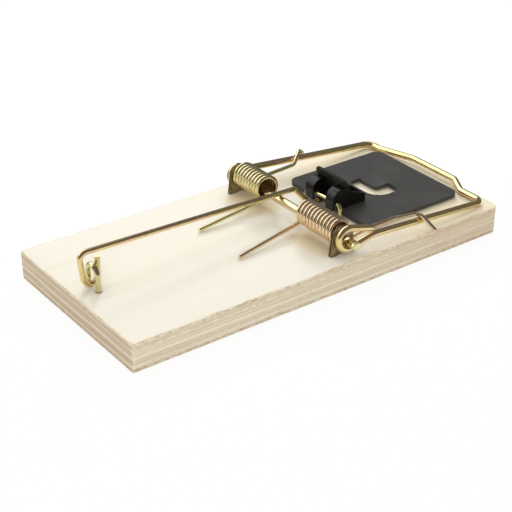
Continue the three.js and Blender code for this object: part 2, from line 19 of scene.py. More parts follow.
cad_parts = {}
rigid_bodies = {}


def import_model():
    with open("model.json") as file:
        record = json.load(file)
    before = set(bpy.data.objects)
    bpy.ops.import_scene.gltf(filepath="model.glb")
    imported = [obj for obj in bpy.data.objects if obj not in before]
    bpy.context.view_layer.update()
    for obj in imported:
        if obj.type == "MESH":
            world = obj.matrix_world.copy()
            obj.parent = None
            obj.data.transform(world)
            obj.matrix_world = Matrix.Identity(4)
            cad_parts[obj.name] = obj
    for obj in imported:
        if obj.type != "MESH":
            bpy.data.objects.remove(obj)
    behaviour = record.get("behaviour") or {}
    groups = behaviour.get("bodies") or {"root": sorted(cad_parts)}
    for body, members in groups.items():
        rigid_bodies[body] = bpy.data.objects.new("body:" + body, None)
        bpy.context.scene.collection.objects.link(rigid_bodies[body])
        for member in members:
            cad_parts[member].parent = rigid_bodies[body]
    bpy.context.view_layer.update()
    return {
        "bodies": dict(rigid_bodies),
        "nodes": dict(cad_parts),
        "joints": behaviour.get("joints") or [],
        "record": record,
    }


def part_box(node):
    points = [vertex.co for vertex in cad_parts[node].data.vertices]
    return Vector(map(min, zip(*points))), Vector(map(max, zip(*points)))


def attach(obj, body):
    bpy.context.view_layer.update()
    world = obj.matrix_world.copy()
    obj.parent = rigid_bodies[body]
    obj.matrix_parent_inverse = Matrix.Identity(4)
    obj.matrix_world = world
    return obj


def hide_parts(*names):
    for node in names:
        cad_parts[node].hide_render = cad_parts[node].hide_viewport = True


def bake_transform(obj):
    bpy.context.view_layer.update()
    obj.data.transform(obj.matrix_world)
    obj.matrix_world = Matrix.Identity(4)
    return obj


LOG = logging.getLogger("snap_trap")
STRAIGHT = "straight"
MM = 0.001
UP = Vector((0, 0, 1))

Colour = tuple[float, float, float]
Point = tuple[float, float, float]
Ring = list[bmesh.types.BMVert]
Section = Callable[[float], tuple[float, float]]
Link = Union["Value", bpy.types.NodeSocket]
Input = Union[Link, float, Sequence[float]]


class Body(Enum):
    """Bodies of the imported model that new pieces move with."""

    BASE = "base"
    BAIL = "bail"
    LOCK_BAR = "lock_bar"


class Slot(Enum):
    """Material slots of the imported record."""

    PLYWOOD = "plywood"
    BRACKET = "bracket_steel"
    WIRE = "zinc_wire"
    STAPLE = "zinc_staple"
    PLASTIC = "pedal_plastic"


class Side(Enum):
    """Long sides of the board, by the sign of y."""

    NEAR = -1
    FAR = 1


# ---- Shader building ----


@dataclass(frozen=True)
class Mask:
    """Where a number starts and ends to let a colour in, and the most that it lets in."""

    start: float
    end: float
    share: float = 1.0


@dataclass(frozen=True)
class Noise:
    """Soft noise about 0.5: cycles per millimetre on each axis, further octaves, their share."""

    scale: Point
    detail: float = 2
    rough: float = 0.5


class Value:
    """A number in a shader. Python's operators on it add the Math nodes."""

    def __init__(self, shader: "Shader", socket: bpy.types.NodeSocket) -> None:
        """Wraps an output that holds one number."""
        self.shader = shader
        self.socket = socket

    def _math(self, operation: str, *terms: Input) -> "Value":
        """The result of a Math node that works on the terms in their order."""
        settings = {"operation": operation}
        return self.shader.number("ShaderNodeMath", settings, dict(enumerate(terms)))

    def __add__(self, other: Input) -> "Value":
        """Sum."""
        return self._math("ADD", self, other)

    def __sub__(self, other: Input) -> "Value":
        """Difference."""
        return self._math("SUBTRACT", self, other)

    def __mul__(self, other: Input) -> "Value":
        """Product."""
        return self._math("MULTIPLY", self, other)

    def __truediv__(self, other: Input) -> "Value":
        """Quotient."""
        return self._math("DIVIDE", self, other)

    def __pow__(self, other: Input) -> "Value":
        """Power."""
        return self._math("POWER", self, other)

    def __rsub__(self, other: Input) -> "Value":
        """Difference with the number first."""
        return self._math("SUBTRACT", other, self)

    __radd__ = __add__
    __rmul__ = __mul__

    def __abs__(self) -> "Value":
        """Size without its sign."""
        return self._math("ABSOLUTE", self)

    def least(self, other: Input) -> "Value":
        """The smaller of two numbers."""
        return self._math("MINIMUM", self, other)

    def most(self, other: Input) -> "Value":
        """The larger of two numbers."""
        return self._math("MAXIMUM", self, other)

    def through(self, mask: Mask) -> "Value":
        """A smooth step from one end of a mask to the other.

        Args:
            mask: Where the result is 0 and where it is full; the end may lie below the start.

        Returns:
            A number from 0 to the mask's share.
        """
        sockets = {0: self, 1: mask.start, 2: mask.end}
        if mask.start > mask.end:
            sockets = {0: self, 1: mask.end, 2: mask.start, 3: 1.0, 4: 0.0}
        settings = {"interpolation_type": "SMOOTHSTEP"}
        step = self.shader.number("ShaderNodeMapRange", settings, sockets)
        return step if mask.share == 1.0 else step * mask.share


class Shader:
    """A node tree and the nodes that a finish puts in it."""

    def __init__(self, owner: Union[bpy.types.Material, bpy.types.World]) -> None:
        """Empties the owner's node tree.

        Args:
            owner: The material or world to shade.
        """
        owner.use_nodes = True
        self.tree = owner.node_tree
        self.tree.nodes.clear()

    def node(
        self,
        kind: str,
        settings: Union[dict, None] = None,
        sockets: Union[dict, None] = None,
    ) -> bpy.types.Node:
        """Adds one node.

        Args:
            kind: The node's type.
            settings: Properties to set first; a ramp's stops are under "stops".
            sockets: Values or links for its inputs, by name or number.

        Returns:
            The new node.
        """
        made = self.tree.nodes.new(kind)
        for name, setting in (settings or {}).items():
            if name == "stops":
                self._set_stops(made.color_ramp, setting)
            else:
                setattr(made, name, setting)
        for name, given in (sockets or {}).items():
            if isinstance(given, Value):
                given = given.socket
            if isinstance(given, bpy.types.NodeSocket):
                self.tree.links.new(given, made.inputs[name])
            else:
                made.inputs[name].default_value = given
        return made

    @staticmethod
    def _set_stops(ramp: bpy.types.ColorRamp, stops: Sequence[tuple[float, Colour]]) -> None:
        """Writes a ramp's stops.

        Args:
            ramp: The ramp of a new node, which has two stops.
            stops: Place from 0 to 1 and colour of each stop, in order.
        """
        while len(ramp.elements) < len(stops):
            ramp.elements.new(1.0)
        for element, (place, colour) in zip(ramp.elements, stops):
            element.position = place
            element.color = (*colour, 1.0)

    def number(self, kind: str, settings: dict, sockets: dict) -> Value:
        """A node whose first output is one number, as a Value."""
        return Value(self, self.node(kind, settings, sockets).outputs[0])

    def object_place(self) -> bpy.types.NodeSocket:
        """Place in the part's frame, in millimetres."""
        place = self.node("ShaderNodeTexCoord").outputs["Object"]
        return self.scaled(place, (1 / MM,) * 3)

    def wire_place(self) -> bpy.types.NodeSocket:
        """Place on the straightened wire, in millimetres; its last number runs along the wire."""
        place = self.node("ShaderNodeAttribute", {"attribute_name": STRAIGHT}).outputs["Vector"]
        return self.scaled(place, (1 / MM,) * 3)

    def scaled(self, place: Link, factors: Sequence[float]) -> bpy.types.NodeSocket:
        """A place with each of its numbers multiplied by a factor."""
        node = self.node("ShaderNodeVectorMath", {"operation": "MULTIPLY"}, {0: place, 1: factors})
        return node.outputs[0]

    def parts(self, place: Link) -> list[Value]:
        """The three numbers of a place."""
        split = self.node("ShaderNodeSeparateXYZ", {}, {0: place})
        return [Value(self, output) for output in split.outputs]

    def noise(self, place: Link, kind: Noise) -> Value:
        """Soft noise.

        Args:
            place: Where it is read.
            kind: How fine and how rough it is.

        Returns:
            The noise.
        """
        sockets = {
            "Vector": self.scaled(place, kind.scale),
            "Scale": 1.0,
            "Detail": kind.detail,
            "Roughness": kind.rough,
        }
        return self.number("ShaderNodeTexNoise", {}, sockets)

    def mix(self, share: Input, first: Input, second: Input) -> bpy.types.NodeSocket:
        """Mixes two colours.

        Args:
            share: How much of the second.
            first: Colour where the share is 0.
            second: Colour where the share is 1.

        Returns:
            The mixed colour.
        """
        colours = {6: first, 7: second}
        for index, colour in colours.items():
            if isinstance(colour, tuple):
                colours[index] = (*colour, 1.0)
        settings = {"data_type": "RGBA"}
        return self.node("ShaderNodeMix", settings, {0: share, **colours}).outputs[2]

    def ramp(self, place: Value, stops: Sequence[tuple[float, Colour]]) -> bpy.types.NodeSocket:
        """A colour looked up along a ramp."""
        return self.node("ShaderNodeValToRGB", {"stops": stops}, {0: place}).outputs["Color"]

    def bump(self, height: Value, millimetres: float, strength: float) -> bpy.types.NodeSocket:
        """A normal bent by relief of 0 to 1 that is so many millimetres deep."""
        sockets = {"Strength": strength, "Distance": millimetres * MM, "Height": height}
        return self.node("ShaderNodeBump", {}, sockets).outputs[0]


# ---- Finishes ----


class Finish(ABC):
    """A surface finish that makes its own material."""

    name: str

    @abstractmethod
    def sockets(self, shader: Shader) -> dict:
        """What the finish feeds to the inputs of a Principled shader, by their names."""

    def material(self) -> bpy.types.Material:
        """Makes the finish.

        Returns:
            A new material.
        """
        made = bpy.data.materials.new(self.name)
        shader = Shader(made)
        shade = shader.node("ShaderNodeBsdfPrincipled", {}, self.sockets(shader))
        shader.node("ShaderNodeOutputMaterial", {}, {"Surface": shade.outputs[0]})
        return made


@dataclass(frozen=True)
class Plywood(Finish):
    """Pale face veneer over plies that show at the sawn sides.

    The plies are listed from the underside up as thickness and shade. A shade of 0 is a ply that
    is sawn along its grain at the board's long sides, and 1 a ply that is sawn across it there.
    At the ends the pattern stands out more. A seam is a broken dark line along the long sides,
    given as height, half width and strength. Lengths are in millimetres.
    """

    name = "plywood"
    half_length: float
    half_width: float
    thick: float
    plies: tuple[tuple[float, float], ...]

    face: Colour = (0.91, 0.89, 0.83)
    face_warm: Colour = (0.90, 0.82, 0.62)
    face_streak: Colour = (0.80, 0.72, 0.50)
    # Colour of the painted shade and warm bounced light round the springs.
    face_spring_shade: Colour = (0.80, 0.64, 0.38)
    edge_burn: Colour = (0.64, 0.48, 0.26)
    side_pale: Colour = (0.80, 0.74, 0.63)
    side_dark: Colour = (0.66, 0.60, 0.485)
    side_line: Colour = (0.48, 0.395, 0.27)
    end_pale: Colour = (0.74, 0.65, 0.54)
    end_dark: Colour = (0.52, 0.42, 0.315)
    end_line: Colour = (0.39, 0.30, 0.20)
    bait_end_tan: Colour = (0.60, 0.46, 0.34)
    speck: Colour = (0.37, 0.25, 0.12)

    glue_line: float = 0.10
    sway: Noise = Noise((0.03, 0.03, 0.1), 1)
    sway_height: float = 0.7
    fine_sway: Noise = Noise((0.35, 0.35, 0.6), 1)
    fine_sway_height: float = 0.16
    tan_reach: Mask = Mask(25.0, 70.0, 0.40)
    corner_blend: Mask = Mask(-0.3, 0.3)
    streak: Noise = Noise((0.03, 0.03, 1.9), 4, 0.65)
    pale_streaks: Mask = Mask(0.50, 0.70, 0.55)
    dark_streaks: Mask = Mask(0.48, 0.30, 0.50)
    fibre: Noise = Noise((0.22, 0.22, 2.0), 3, 0.65)
    dark_fibres: Mask = Mask(0.60, 0.74, 0.30)
    dash: Noise = Noise((0.45, 0.45, 0.9), 3, 0.7)
    dashes: Mask = Mask(0.44, 0.58)
    seam_core: float = 0.3
    seams: tuple[Point, ...] = (
        (11.45, 0.45, 0.60),
        (10.2, 0.14, 0.55),
        (9.2, 0.18, 0.80),
        (6.2, 0.12, 0.35),
        (4.1, 0.16, 0.55),
        (1.0, 0.80, 0.45),
    )
    crumb: Noise = Noise((0.55, 0.55, 0.95), 4, 0.75)
    dark_crumbs: Mask = Mask(0.53, 0.66)
    pale_crumbs: Mask = Mask(0.44, 0.32)
    torn_foot: Mask = Mask(2.4, 1.2)
    torn_top: Mask = Mask(1.6, 0.9)
    torn_share: float = 0.55
    whole_share: float = 0.15

    cloud: Noise = Noise((0.012, 0.05, 0.1))
    cloud_reach: float = 60.0
    warm_reach: Mask = Mask(5.0, 75.0, 0.75)
    grain: Noise = Noise((0.02, 0.55, 0.2), 3, 0.6)
    dark_grain: Mask = Mask(0.52, 0.78, 0.60)
    grain_clouds: Mask = Mask(0.35, 0.70)
    fleck: Noise = Noise((0.25, 2.0, 1.0), 1)
    dark_flecks: Mask = Mask(0.68, 0.80, 0.25)
    # Where the painted shade and warm bounced light round the springs lie.
    spring_shade_middle: tuple[float, float] = (8.0, 21.0)
    spring_shade_along: Mask = Mask(13.0, 2.0, 0.60)
    spring_shade_across: Mask = Mask(15.0, 8.0)
    fray: Noise = Noise((0.8, 0.8, 0.8), 3, 0.7)
    burn_fray: float = 1.8
    burn_reach: Mask = Mask(0.75, 0.05)
    patch: Noise = Noise((0.09, 0.09, 0.09))
    burn_patches: Mask = Mask(0.38, 0.62, 0.6)
    burn_least: float = 0.3
    corner_fray: float = 4.0
    corner_burn: Mask = Mask(2.6, 0.9, 0.6)

    face_top: Mask = Mask(0.42, 0.12)
    face_under: Mask = Mask(0.35, 0.10)
    side_fibre: Noise = Noise((0.045, 0.045, 2.6), 3, 0.6)
    saw: Noise = Noise((0.9, 0.9, 0.5), 3, 0.65)

    def _ply_stops(self, pale: Colour, dark: Colour, glue: Colour) -> list[tuple[float, Colour]]:
        """Ramp stops for the plies, with a thin glue line between them.

        Args:
            pale: Colour of a ply of shade 0.
            dark: Colour of a ply of shade 1.
            glue: Colour of the lines between plies.

        Returns:
            Place from 0 at the underside to 1 at the face, and colour, of each stop.
        """
        total = sum(thick for thick, _ in self.plies)
        line = self.glue_line / total
        stops: list[tuple[float, Colour]] = []
        start = 0.0
        for thick, shade in self.plies:
            colour = tuple(a + (b - a) * shade for a, b in zip(pale, dark))
            end = start + thick / total
            stops += [(start + line, colour), (end - 2 * line, colour), (min(end, 1.0), glue)]
            start = end
        return stops

    def _sawn_sides(self, shader: Shader, place: Link) -> bpy.types.NodeSocket:
        """Colour of the sawn sides: plies, streaks, broken seams and bands torn by the saw.

        Args:
            shader: The material's shader.
            place: Place in millimetres.

        Returns:
            The colour.
        """
        x, y, z = shader.parts(place)
        sway = (shader.noise(place, self.sway) - 0.5) * self.sway_height
        fine_sway = (shader.noise(place, self.fine_sway) - 0.5) * self.fine_sway_height
        up = (z + sway + fine_sway) / self.thick
        side = shader.ramp(up, self._ply_stops(self.side_pale, self.side_dark, self.side_line))
        end = shader.ramp(up, self._ply_stops(self.end_pale, self.end_dark, self.end_line))
        side = shader.mix(x.through(self.tan_reach), side, self.bait_end_tan)
        past_corner = (self.half_width - abs(y)) - (self.half_length - abs(x))
        at_end = past_corner.through(self.corner_blend)
        colour = shader.mix(at_end, side, end)
        streak = shader.noise(place, self.streak)
        colour = shader.mix(streak.through(self.pale_streaks), colour, self.side_pale)
        colour = shader.mix(streak.through(self.dark_streaks), colour, self.side_line)
        fibre = shader.noise(place, self.fibre)
        colour = shader.mix(fibre.through(self.dark_fibres), colour, self.speck)
        dashes = shader.noise(place, self.dash).through(self.dashes) * (1.0 - at_end)
        for height, half, strength in self.seams:
            seam = abs(z + sway - height).through(Mask(half, half * self.seam_core, strength))
            colour = shader.mix(seam * dashes, colour, self.speck)
        crumb = shader.noise(place, self.crumb)
        torn = z.through(self.torn_foot) + (self.thick - z).through(self.torn_top)
        share = torn * self.torn_share + self.whole_share
        colour = shader.mix(crumb.through(self.dark_crumbs) * share, colour, self.speck)
        return shader.mix(crumb.through(self.pale_crumbs) * share, colour, self.side_pale)

    def _veneer(
        self, shader: Shader, place: Link, grain: Value, flecks: Value
    ) -> bpy.types.NodeSocket:
        """Colour of the face: cream, warmer to the bait end, streaked, with frayed tan edges.

        Args:
            shader: The material's shader.
            place: Place in millimetres.
            grain: Noise of the long grain.
            flecks: Noise of the short flecks.

        Returns:
            The colour.
        """
        x, y, _ = shader.parts(place)
        cloud = shader.noise(place, self.cloud)
        warmth = (x + (cloud - 0.5) * self.cloud_reach).through(self.warm_reach)
        colour = shader.mix(warmth, self.face, self.face_warm)
        dark_grain = grain.through(self.dark_grain) * cloud.through(self.grain_clouds)
        colour = shader.mix(dark_grain, colour, self.face_streak)
        colour = shader.mix(flecks.through(self.dark_flecks), colour, self.face_streak)
        # Painted shade and warm light bounced from the springs, on the face round their coils.
        middle_x, middle_y = self.spring_shade_middle
        along = abs(x - middle_x).through(self.spring_shade_along)
        across = abs(abs(y) - middle_y).through(self.spring_shade_across)
        colour = shader.mix(along * across, colour, self.face_spring_shade)
        fray = shader.noise(place, self.fray) - 0.5
        from_side = (self.half_width - abs(y)).least(self.half_length - abs(x))
        patches = shader.noise(place, self.patch).through(self.burn_patches) + self.burn_least
        burn = (from_side + fray * self.burn_fray).through(self.burn_reach) * patches
        from_corner = x + y + (self.half_length + self.half_width) + fray * self.corner_fray
        return shader.mix(burn.most(from_corner.through(self.corner_burn)), colour, self.edge_burn)

    def sockets(self, shader: Shader) -> dict:
        """Face, sawn sides and their grain.

        Args:
            shader: The material's shader.

        Returns:
            Inputs of the Principled shader.
        """
        place = shader.object_place()
        z = shader.parts(place)[2]
        grain = shader.noise(place, self.grain)
        flecks = shader.noise(place, self.fleck)
        flat = (self.thick - z).through(self.face_top).most(z.through(self.face_under))
        sides = self._sawn_sides(shader, place)
        face = self._veneer(shader, place, grain, flecks)
        sawn = shader.noise(place, self.side_fibre) * 0.6 + shader.noise(place, self.saw) * 0.8
        relief = sawn * (1.0 - flat) + (grain * 0.25 + flecks * 0.12) * flat
        return {
            "Base Color": shader.mix(flat, sides, face),
            "Roughness": 0.62 + grain * 0.2,
            "Normal": shader.bump(relief, 0.22, 0.6),
            "Specular IOR Level": 0.25,
        }


@dataclass(frozen=True)
class ZincWire(Finish):
    """Drawn steel wire with a yellow passivated zinc coat, whose tint drifts along it."""

    name: str
    main: Colour = (0.78, 0.61, 0.28)
    warm: Colour = (0.82, 0.54, 0.36)
    cool: Colour = (0.60, 0.57, 0.21)
    patch_length: float = 14.0
    dull: Colour = (0.34, 0.24, 0.12)
    patch_across: float = 0.32
    warm_patches: Mask = Mask(0.48, 0.64)
    drift_across: float = 0.30
    drift_along: float = 0.45
    cool_drifts: Mask = Mask(0.52, 0.68, 0.85)
    line: Noise = Noise((1.7, 1.7, 0.05), 2, 0.6)
    dull_lines: Mask = Mask(0.58, 0.76, 0.30)
    blotch: Noise = Noise((0.5, 0.5, 0.28), 3, 0.65)
    dull_blotches: Mask = Mask(0.54, 0.72, 0.45)

    def _with_painted_shade(self, shader: Shader, colour: Link) -> Link:
        """The colour with any painted shade; plain wire keeps it as it is."""
        return colour

    def sockets(self, shader: Shader) -> dict:
        """Metal with drawn lines, tint patches and dull spots.

        Args:
            shader: The material's shader.

        Returns:
            Inputs of the Principled shader.
        """
        place = shader.wire_place()
        rate = 1 / self.patch_length
        slow = rate * self.drift_along
        patch = shader.noise(place, Noise((self.patch_across, self.patch_across, rate)))
        drift = shader.noise(place, Noise((self.drift_across, self.drift_across, slow)))
        lines = shader.noise(place, self.line)
        blotch = shader.noise(place, self.blotch)
        colour = shader.mix(patch.through(self.warm_patches), self.main, self.warm)
        colour = shader.mix(drift.through(self.cool_drifts), colour, self.cool)
        colour = shader.mix(blotch.through(self.dull_blotches), colour, self.dull)
        colour = shader.mix(lines.through(self.dull_lines), colour, self.dull)
        return {
            "Base Color": self._with_painted_shade(shader, colour),
            "Metallic": 1.0,
            "Roughness": 0.10 + lines * 0.05 + blotch * 0.10,
            "Normal": shader.bump(lines, 0.006, 0.5),
            "Coat Weight": 0.6,
            "Coat Roughness": 0.08,
        }


@dataclass(frozen=True)
class CoilWire(ZincWire):
    """Zinc wire of a wound spring, with painted shade on the inside of its coil.

    The axis is the coil's middle line as x and z, and the radius that of the wire's middle.
    """

    axis: tuple[float, float] = (0.0, 0.0)
    radius: float = 1.0
    # Colour of the painted shade on the inside of the coil.
    inside: Colour = (0.32, 0.18, 0.11)
    painted_shade_side: Mask = Mask(0.05, 0.55, 0.85)

    def _with_painted_shade(self, shader: Shader, colour: Link) -> Link:
        """The colour with painted shade where the wire faces the coil's axis.

        Args:
            shader: The material's shader.
            colour: The colour before the painted shade.

        Returns:
            The colour with the painted shade.
        """
        x, _, z = shader.parts(shader.object_place())
        from_axis = ((x - self.axis[0]) ** 2.0 + (z - self.axis[1]) ** 2.0) ** 0.5
        # Painted shade: the wire is darkened where it faces the coil's axis.
        return shader.mix((self.radius - from_axis).through(self.painted_shade_side), colour, self.inside)


@dataclass(frozen=True)
class BracketSteel(Finish):
    """Thin plated sheet, brushed along its height and mottled, with painted shade on its cut
    edges.

    The plates stand at half_span to both sides of the middle line.
    """

    name = "bracket_steel"
    half_span: float
    half_thick: float
    sheet: Colour = (0.42, 0.36, 0.21)
    mottle: Colour = (0.19, 0.145, 0.075)
    # Painted shade on the sheet's thin cut edges.
    cut: Colour = (0.085, 0.055, 0.03)
    brush: Noise = Noise((3.2, 3.2, 0.25), 2, 0.6)
    brush_marks: Mask = Mask(0.55, 0.75, 0.4)
    blotch: Noise = Noise((0.35, 0.35, 0.35), 3, 0.6)
    blotches: Mask = Mask(0.42, 0.66, 0.8)
    rim: Mask = Mask(0.06, 0.2)

    def sockets(self, shader: Shader) -> dict:
        """Dull metal with a brushed grain.

        Args:
            shader: The material's shader.

        Returns:
            Inputs of the Principled shader.
        """
        place = shader.object_place()
        brushed = shader.noise(place, self.brush)
        mottled = shader.noise(place, self.blotch)
        colour = shader.mix(mottled.through(self.blotches), self.sheet, self.mottle)
        colour = shader.mix(brushed.through(self.brush_marks), colour, self.mottle)
        # The thin cut edges of the sheet get painted shade.
        from_face = self.half_thick - abs(abs(shader.parts(place)[1]) - self.half_span)
        return {
            "Base Color": shader.mix(from_face.through(self.rim), colour, self.cut),
            "Metallic": 1.0,
            "Roughness": 0.30 + brushed * 0.16 + mottled * 0.12,
            "Normal": shader.bump(brushed, 0.02, 0.6),
        }


@dataclass(frozen=True)
class MouldedPlastic(Finish):
    """Charcoal moulded plastic: a finely grained plate and a smoother hinge block in painted
    shade.
    """

    name = "pedal_plastic"
    block_end: float
    plate_top: float
    plate: Colour = (0.046, 0.046, 0.046)
    # Painted shade: the hinge block is the plate's plastic, painted near black.
    block: Colour = (0.004, 0.004, 0.004)
    scuff: Colour = (0.082, 0.081, 0.080)
    above_plate: Mask = Mask(0.15, 0.5)
    before_end: Mask = Mask(0.5, 0.0)
    grain: Noise = Noise((4.5, 4.5, 4.5), 2, 0.6)
    pale_grain: Mask = Mask(0.60, 0.75, 0.25)
    cloud: Noise = Noise((0.07, 0.07, 0.07), 3, 0.6)
    clouds: Mask = Mask(0.40, 0.66, 0.35)
    scratch: Noise = Noise((0.12, 1.9, 1.0), 2, 0.6)
    scratches: Mask = Mask(0.64, 0.78, 0.4)

    def sockets(self, shader: Shader) -> dict:
        """Spark-eroded grain on the plate, gloss on the block.

        Args:
            shader: The material's shader.

        Returns:
            Inputs of the Principled shader.
        """
        place = shader.object_place()
        x, _, z = shader.parts(place)
        above = (z - self.plate_top).through(self.above_plate)
        block = above * (x - self.block_end).through(self.before_end)
        grain = shader.noise(place, self.grain)
        cloud = shader.noise(place, self.cloud).through(self.clouds)
        scratches = shader.noise(place, self.scratch).through(self.scratches)
        colour = self.plate
        for share in (cloud, scratches, grain.through(self.pale_grain)):
            colour = shader.mix(share, colour, self.scuff)
        return {
            # The block's near-black colour is painted shade.
            "Base Color": shader.mix(block, colour, self.block),
            "Roughness": 0.50 + grain * 0.14 - block * 0.20,
            "Normal": shader.bump(grain, 0.05, 0.55),
            "Specular IOR Level": 0.34,
        }


# ---- Meshes ----


def new_object(name: str, mesh: bpy.types.Mesh, sharp_degrees: float) -> bpy.types.Object:
    """Shades a mesh smooth and links its object into the scene.

    Args:
        name: The object's name.
        mesh: Its mesh.
        sharp_degrees: Edges that turn more than this stay crisp.

    Returns:
        The object.
    """
    mesh.shade_smooth()
    mesh.set_sharp_from_angle(angle=math.radians(sharp_degrees))
    made = bpy.data.objects.new(name, mesh)
    bpy.context.scene.collection.objects.link(made)
    return made


def mesh_object(
    name: str,
    vertices: Sequence[Vector],
    faces: Sequence[Sequence[int]],
    sharp_degrees: float = 38.0,
) -> bpy.types.Object:
    """Makes an object from points and faces.

    Args:
        name: The object's name.
        vertices: Points in metres.
        faces: Point numbers of each face, turning outward.
        sharp_degrees: Edges that turn more than this stay crisp.

    Returns:
        The object.
    """
    mesh = bpy.data.meshes.new(name)
    mesh.from_pydata(vertices, [], faces)
    mesh.validate()
    return new_object(name, mesh, sharp_degrees)


def rounded_path(
    corners: Sequence[Vector],
    radii: Sequence[float],
    step_degrees: float = 5.0,
    least_turn: float = 0.02,
    least_steps: int = 3,
) -> list[Vector]:
    """A path through corners, each rounded by its radius.

    Args:
        corners: Points that the path would turn at.
        radii: Radius at each corner, in the corners' unit; 0 keeps it.
        step_degrees: Turn between points on an arc.
        least_turn: Turn in radians below which a corner is kept.
        least_steps: Fewest steps on an arc.

    Returns:
        The path's points.
    """
    path = [corners[0].copy()]
    for before, corner, after, radius in zip(corners, corners[1:], corners[2:], radii[1:]):
        arriving = (corner - before).normalized()
        leaving = (after - corner).normalized()
        turn = arriving.angle(leaving)
        if turn < least_turn or radius == 0:
            path.append(corner.copy())
            continue
        start = corner - arriving * (radius * math.tan(turn / 2))
        centre = corner + (leaving - arriving).normalized() * (radius / math.cos(turn / 2))
        spin = arriving.cross(leaving)
        steps = max(least_steps, math.ceil(math.degrees(turn) / step_degrees))
        for k in range(steps + 1):
            path.append(centre + Quaternion(spin, turn * k / steps) @ (start - centre))
    path.append(corners[-1].copy())
    return path


def arc(
    centre: Vector, radius: float, start_degrees: float, end_degrees: float, steps: int
) -> list[Vector]:
    """Points on part of a circle in the XZ plane.

    Args:
        centre: The circle's centre.
        radius: Its radius.
        start_degrees: Angle of the first point, from +X towards +Z.
        end_degrees: Angle of the last point.
        steps: How many steps between them.

    Returns:
        The points.
    """
    points = []
    for k in range(steps + 1):
        turn = math.radians(start_degrees + (end_degrees - start_degrees) * k / steps)
        points.append(centre + Vector((math.cos(turn), 0, math.sin(turn))) * radius)
    return points


@dataclass(frozen=True)
class Wire:
    """A round wire that follows a path and ends in cut faces with a small burr."""

    diameter: float
    sides: int = 20
    end_break: float = 0.18
    longest_step: float = 1.6
    end_taper: float = 0.6
    sharp_degrees: float = 38.0

    def swept(
        self, name: str, path: Sequence[Vector], section: Union[Section, None] = None
    ) -> bpy.types.Object:
        """Sweeps the wire.

        Args:
            name: The object's name.
            path: Points in millimetres.
            section: Width and height factors of the section at a length along the path.

        Returns:
            The object, whose "straight" attribute holds each point on the straightened wire.
        """
        spine = self._with_ends(self._spaced(path))
        tangents = self._tangents(spine)
        level = UP.cross(tangents[0])
        starts_upright = level.length < 0.1
        across = (Vector((0, 1, 0)).cross(tangents[0]) if starts_upright else level).normalized()
        total = sum((b - a).length for a, b in zip(spine, spine[1:]))
        along = 0.0
        vertices: list[Vector] = []
        unbent: list[float] = []
        for i, here in enumerate(spine):
            if i > 0:
                across = tangents[i - 1].rotation_difference(tangents[i]) @ across
                along += (here - spine[i - 1]).length
            upward = tangents[i].cross(across).normalized()
            wide, high = section(along) if section else (1.0, 1.0)
            from_end = min(along, total - along)
            radius = self.diameter / 2 - max(0.0, self.end_break - from_end) * self.end_taper
            for k in range(self.sides):
                angle = 2 * math.pi * k / self.sides
                reach = across * (wide * math.cos(angle)) + upward * (high * math.sin(angle))
                vertices.append((here + reach * radius) * MM)
                flat = (radius * math.cos(angle), radius * math.sin(angle), along)
                unbent += [length * MM for length in flat]
        for end, length in ((spine[0], 0.0), (spine[-1], total)):
            vertices.append(end * MM)
            unbent += [0.0, 0.0, length * MM]
        made = mesh_object(name, vertices, self._faces(len(spine)), self.sharp_degrees)
        layer = made.data.attributes.new(STRAIGHT, "FLOAT_VECTOR", "POINT")
        layer.data.foreach_set("vector", unbent)
        return made

    def _spaced(self, path: Sequence[Vector]) -> list[Vector]:
        """The path with points added where two lie further apart than the longest step.

        Args:
            path: Points in millimetres.

        Returns:
            The filled path.
        """
        filled = [path[0]]
        for here, there in zip(path, path[1:]):
            pieces = max(1, math.ceil((there - here).length / self.longest_step))
            filled += [here.lerp(there, k / pieces) for k in range(1, pieces + 1)]
        return filled

    def _with_ends(self, path: list[Vector]) -> list[Vector]:
        """The path with one more ring close to each end, for the burr.

        Args:
            path: Points in millimetres.

        Returns:
            The longer path.
        """
        first = path[0].lerp(path[1], self.end_break / (path[1] - path[0]).length)
        last = path[-1].lerp(path[-2], self.end_break / (path[-2] - path[-1]).length)
        return [path[0], first, *path[1:-1], last, path[-1]]

    @staticmethod
    def _tangents(spine: Sequence[Vector]) -> list[Vector]:
        """Direction of the path at each of its points.

        Args:
            spine: The path.

        Returns:
            Unit vectors.
        """
        steps = [(b - a).normalized() for a, b in zip(spine, spine[1:])]
        inner = [(a + b).normalized() for a, b in zip(steps, steps[1:])]
        return [steps[0], *inner, steps[-1]]

    def _faces(self, rings: int) -> list[tuple[int, ...]]:
        """Faces between the rings and over both ends.

        Args:
            rings: How many rings the wire has; the two end points follow them.

        Returns:
            Point numbers of each face.
        """
        faces: list[tuple[int, ...]] = []
        last = (rings - 1) * self.sides
        start_centre = rings * self.sides
        turns = [(k, (k + 1) % self.sides) for k in range(self.sides)]
        for ring in range(0, last, self.sides):
            above = ring + self.sides
            faces += [(ring + a, ring + b, above + b, above + a) for a, b in turns]
        for a, b in turns:
            faces.append((start_centre, b, a))
            faces.append((start_centre + 1, last + a, last + b))
        return faces


def soften_edges(node: bpy.types.Object, width: float) -> None:
    """Rounds the crisp edges of a construction node by modifiers alone.

    Args:
        node: The node's object.
        width: Width of the rounding in millimetres.
    """
    weld = node.modifiers.new("weld", "WELD")
    weld.merge_threshold = 0.004 * MM
    bevel = node.modifiers.new("edges", "BEVEL")
    bevel.width = width * MM
    bevel.segments = 2
    bevel.limit_method = "ANGLE"
    bevel.angle_limit = math.radians(30)
    bevel.harden_normals = True


def dress(piece: bpy.types.Object, material: bpy.types.Material) -> None:
    """Gives a piece its material.

    Args:
        piece: The object to dress.
        material: Its material.
    """
    if piece.material_slots:
        for place in piece.material_slots:
            place.material = material
    else:
        piece.data.materials.append(material)


# ---- Sub-assemblies ----


class SubAssembly(ABC):
    """Pieces that are made, dressed and seated together."""

    @abstractmethod
    def build(self) -> list[bpy.types.Object]:
        """Makes the pieces and returns them."""


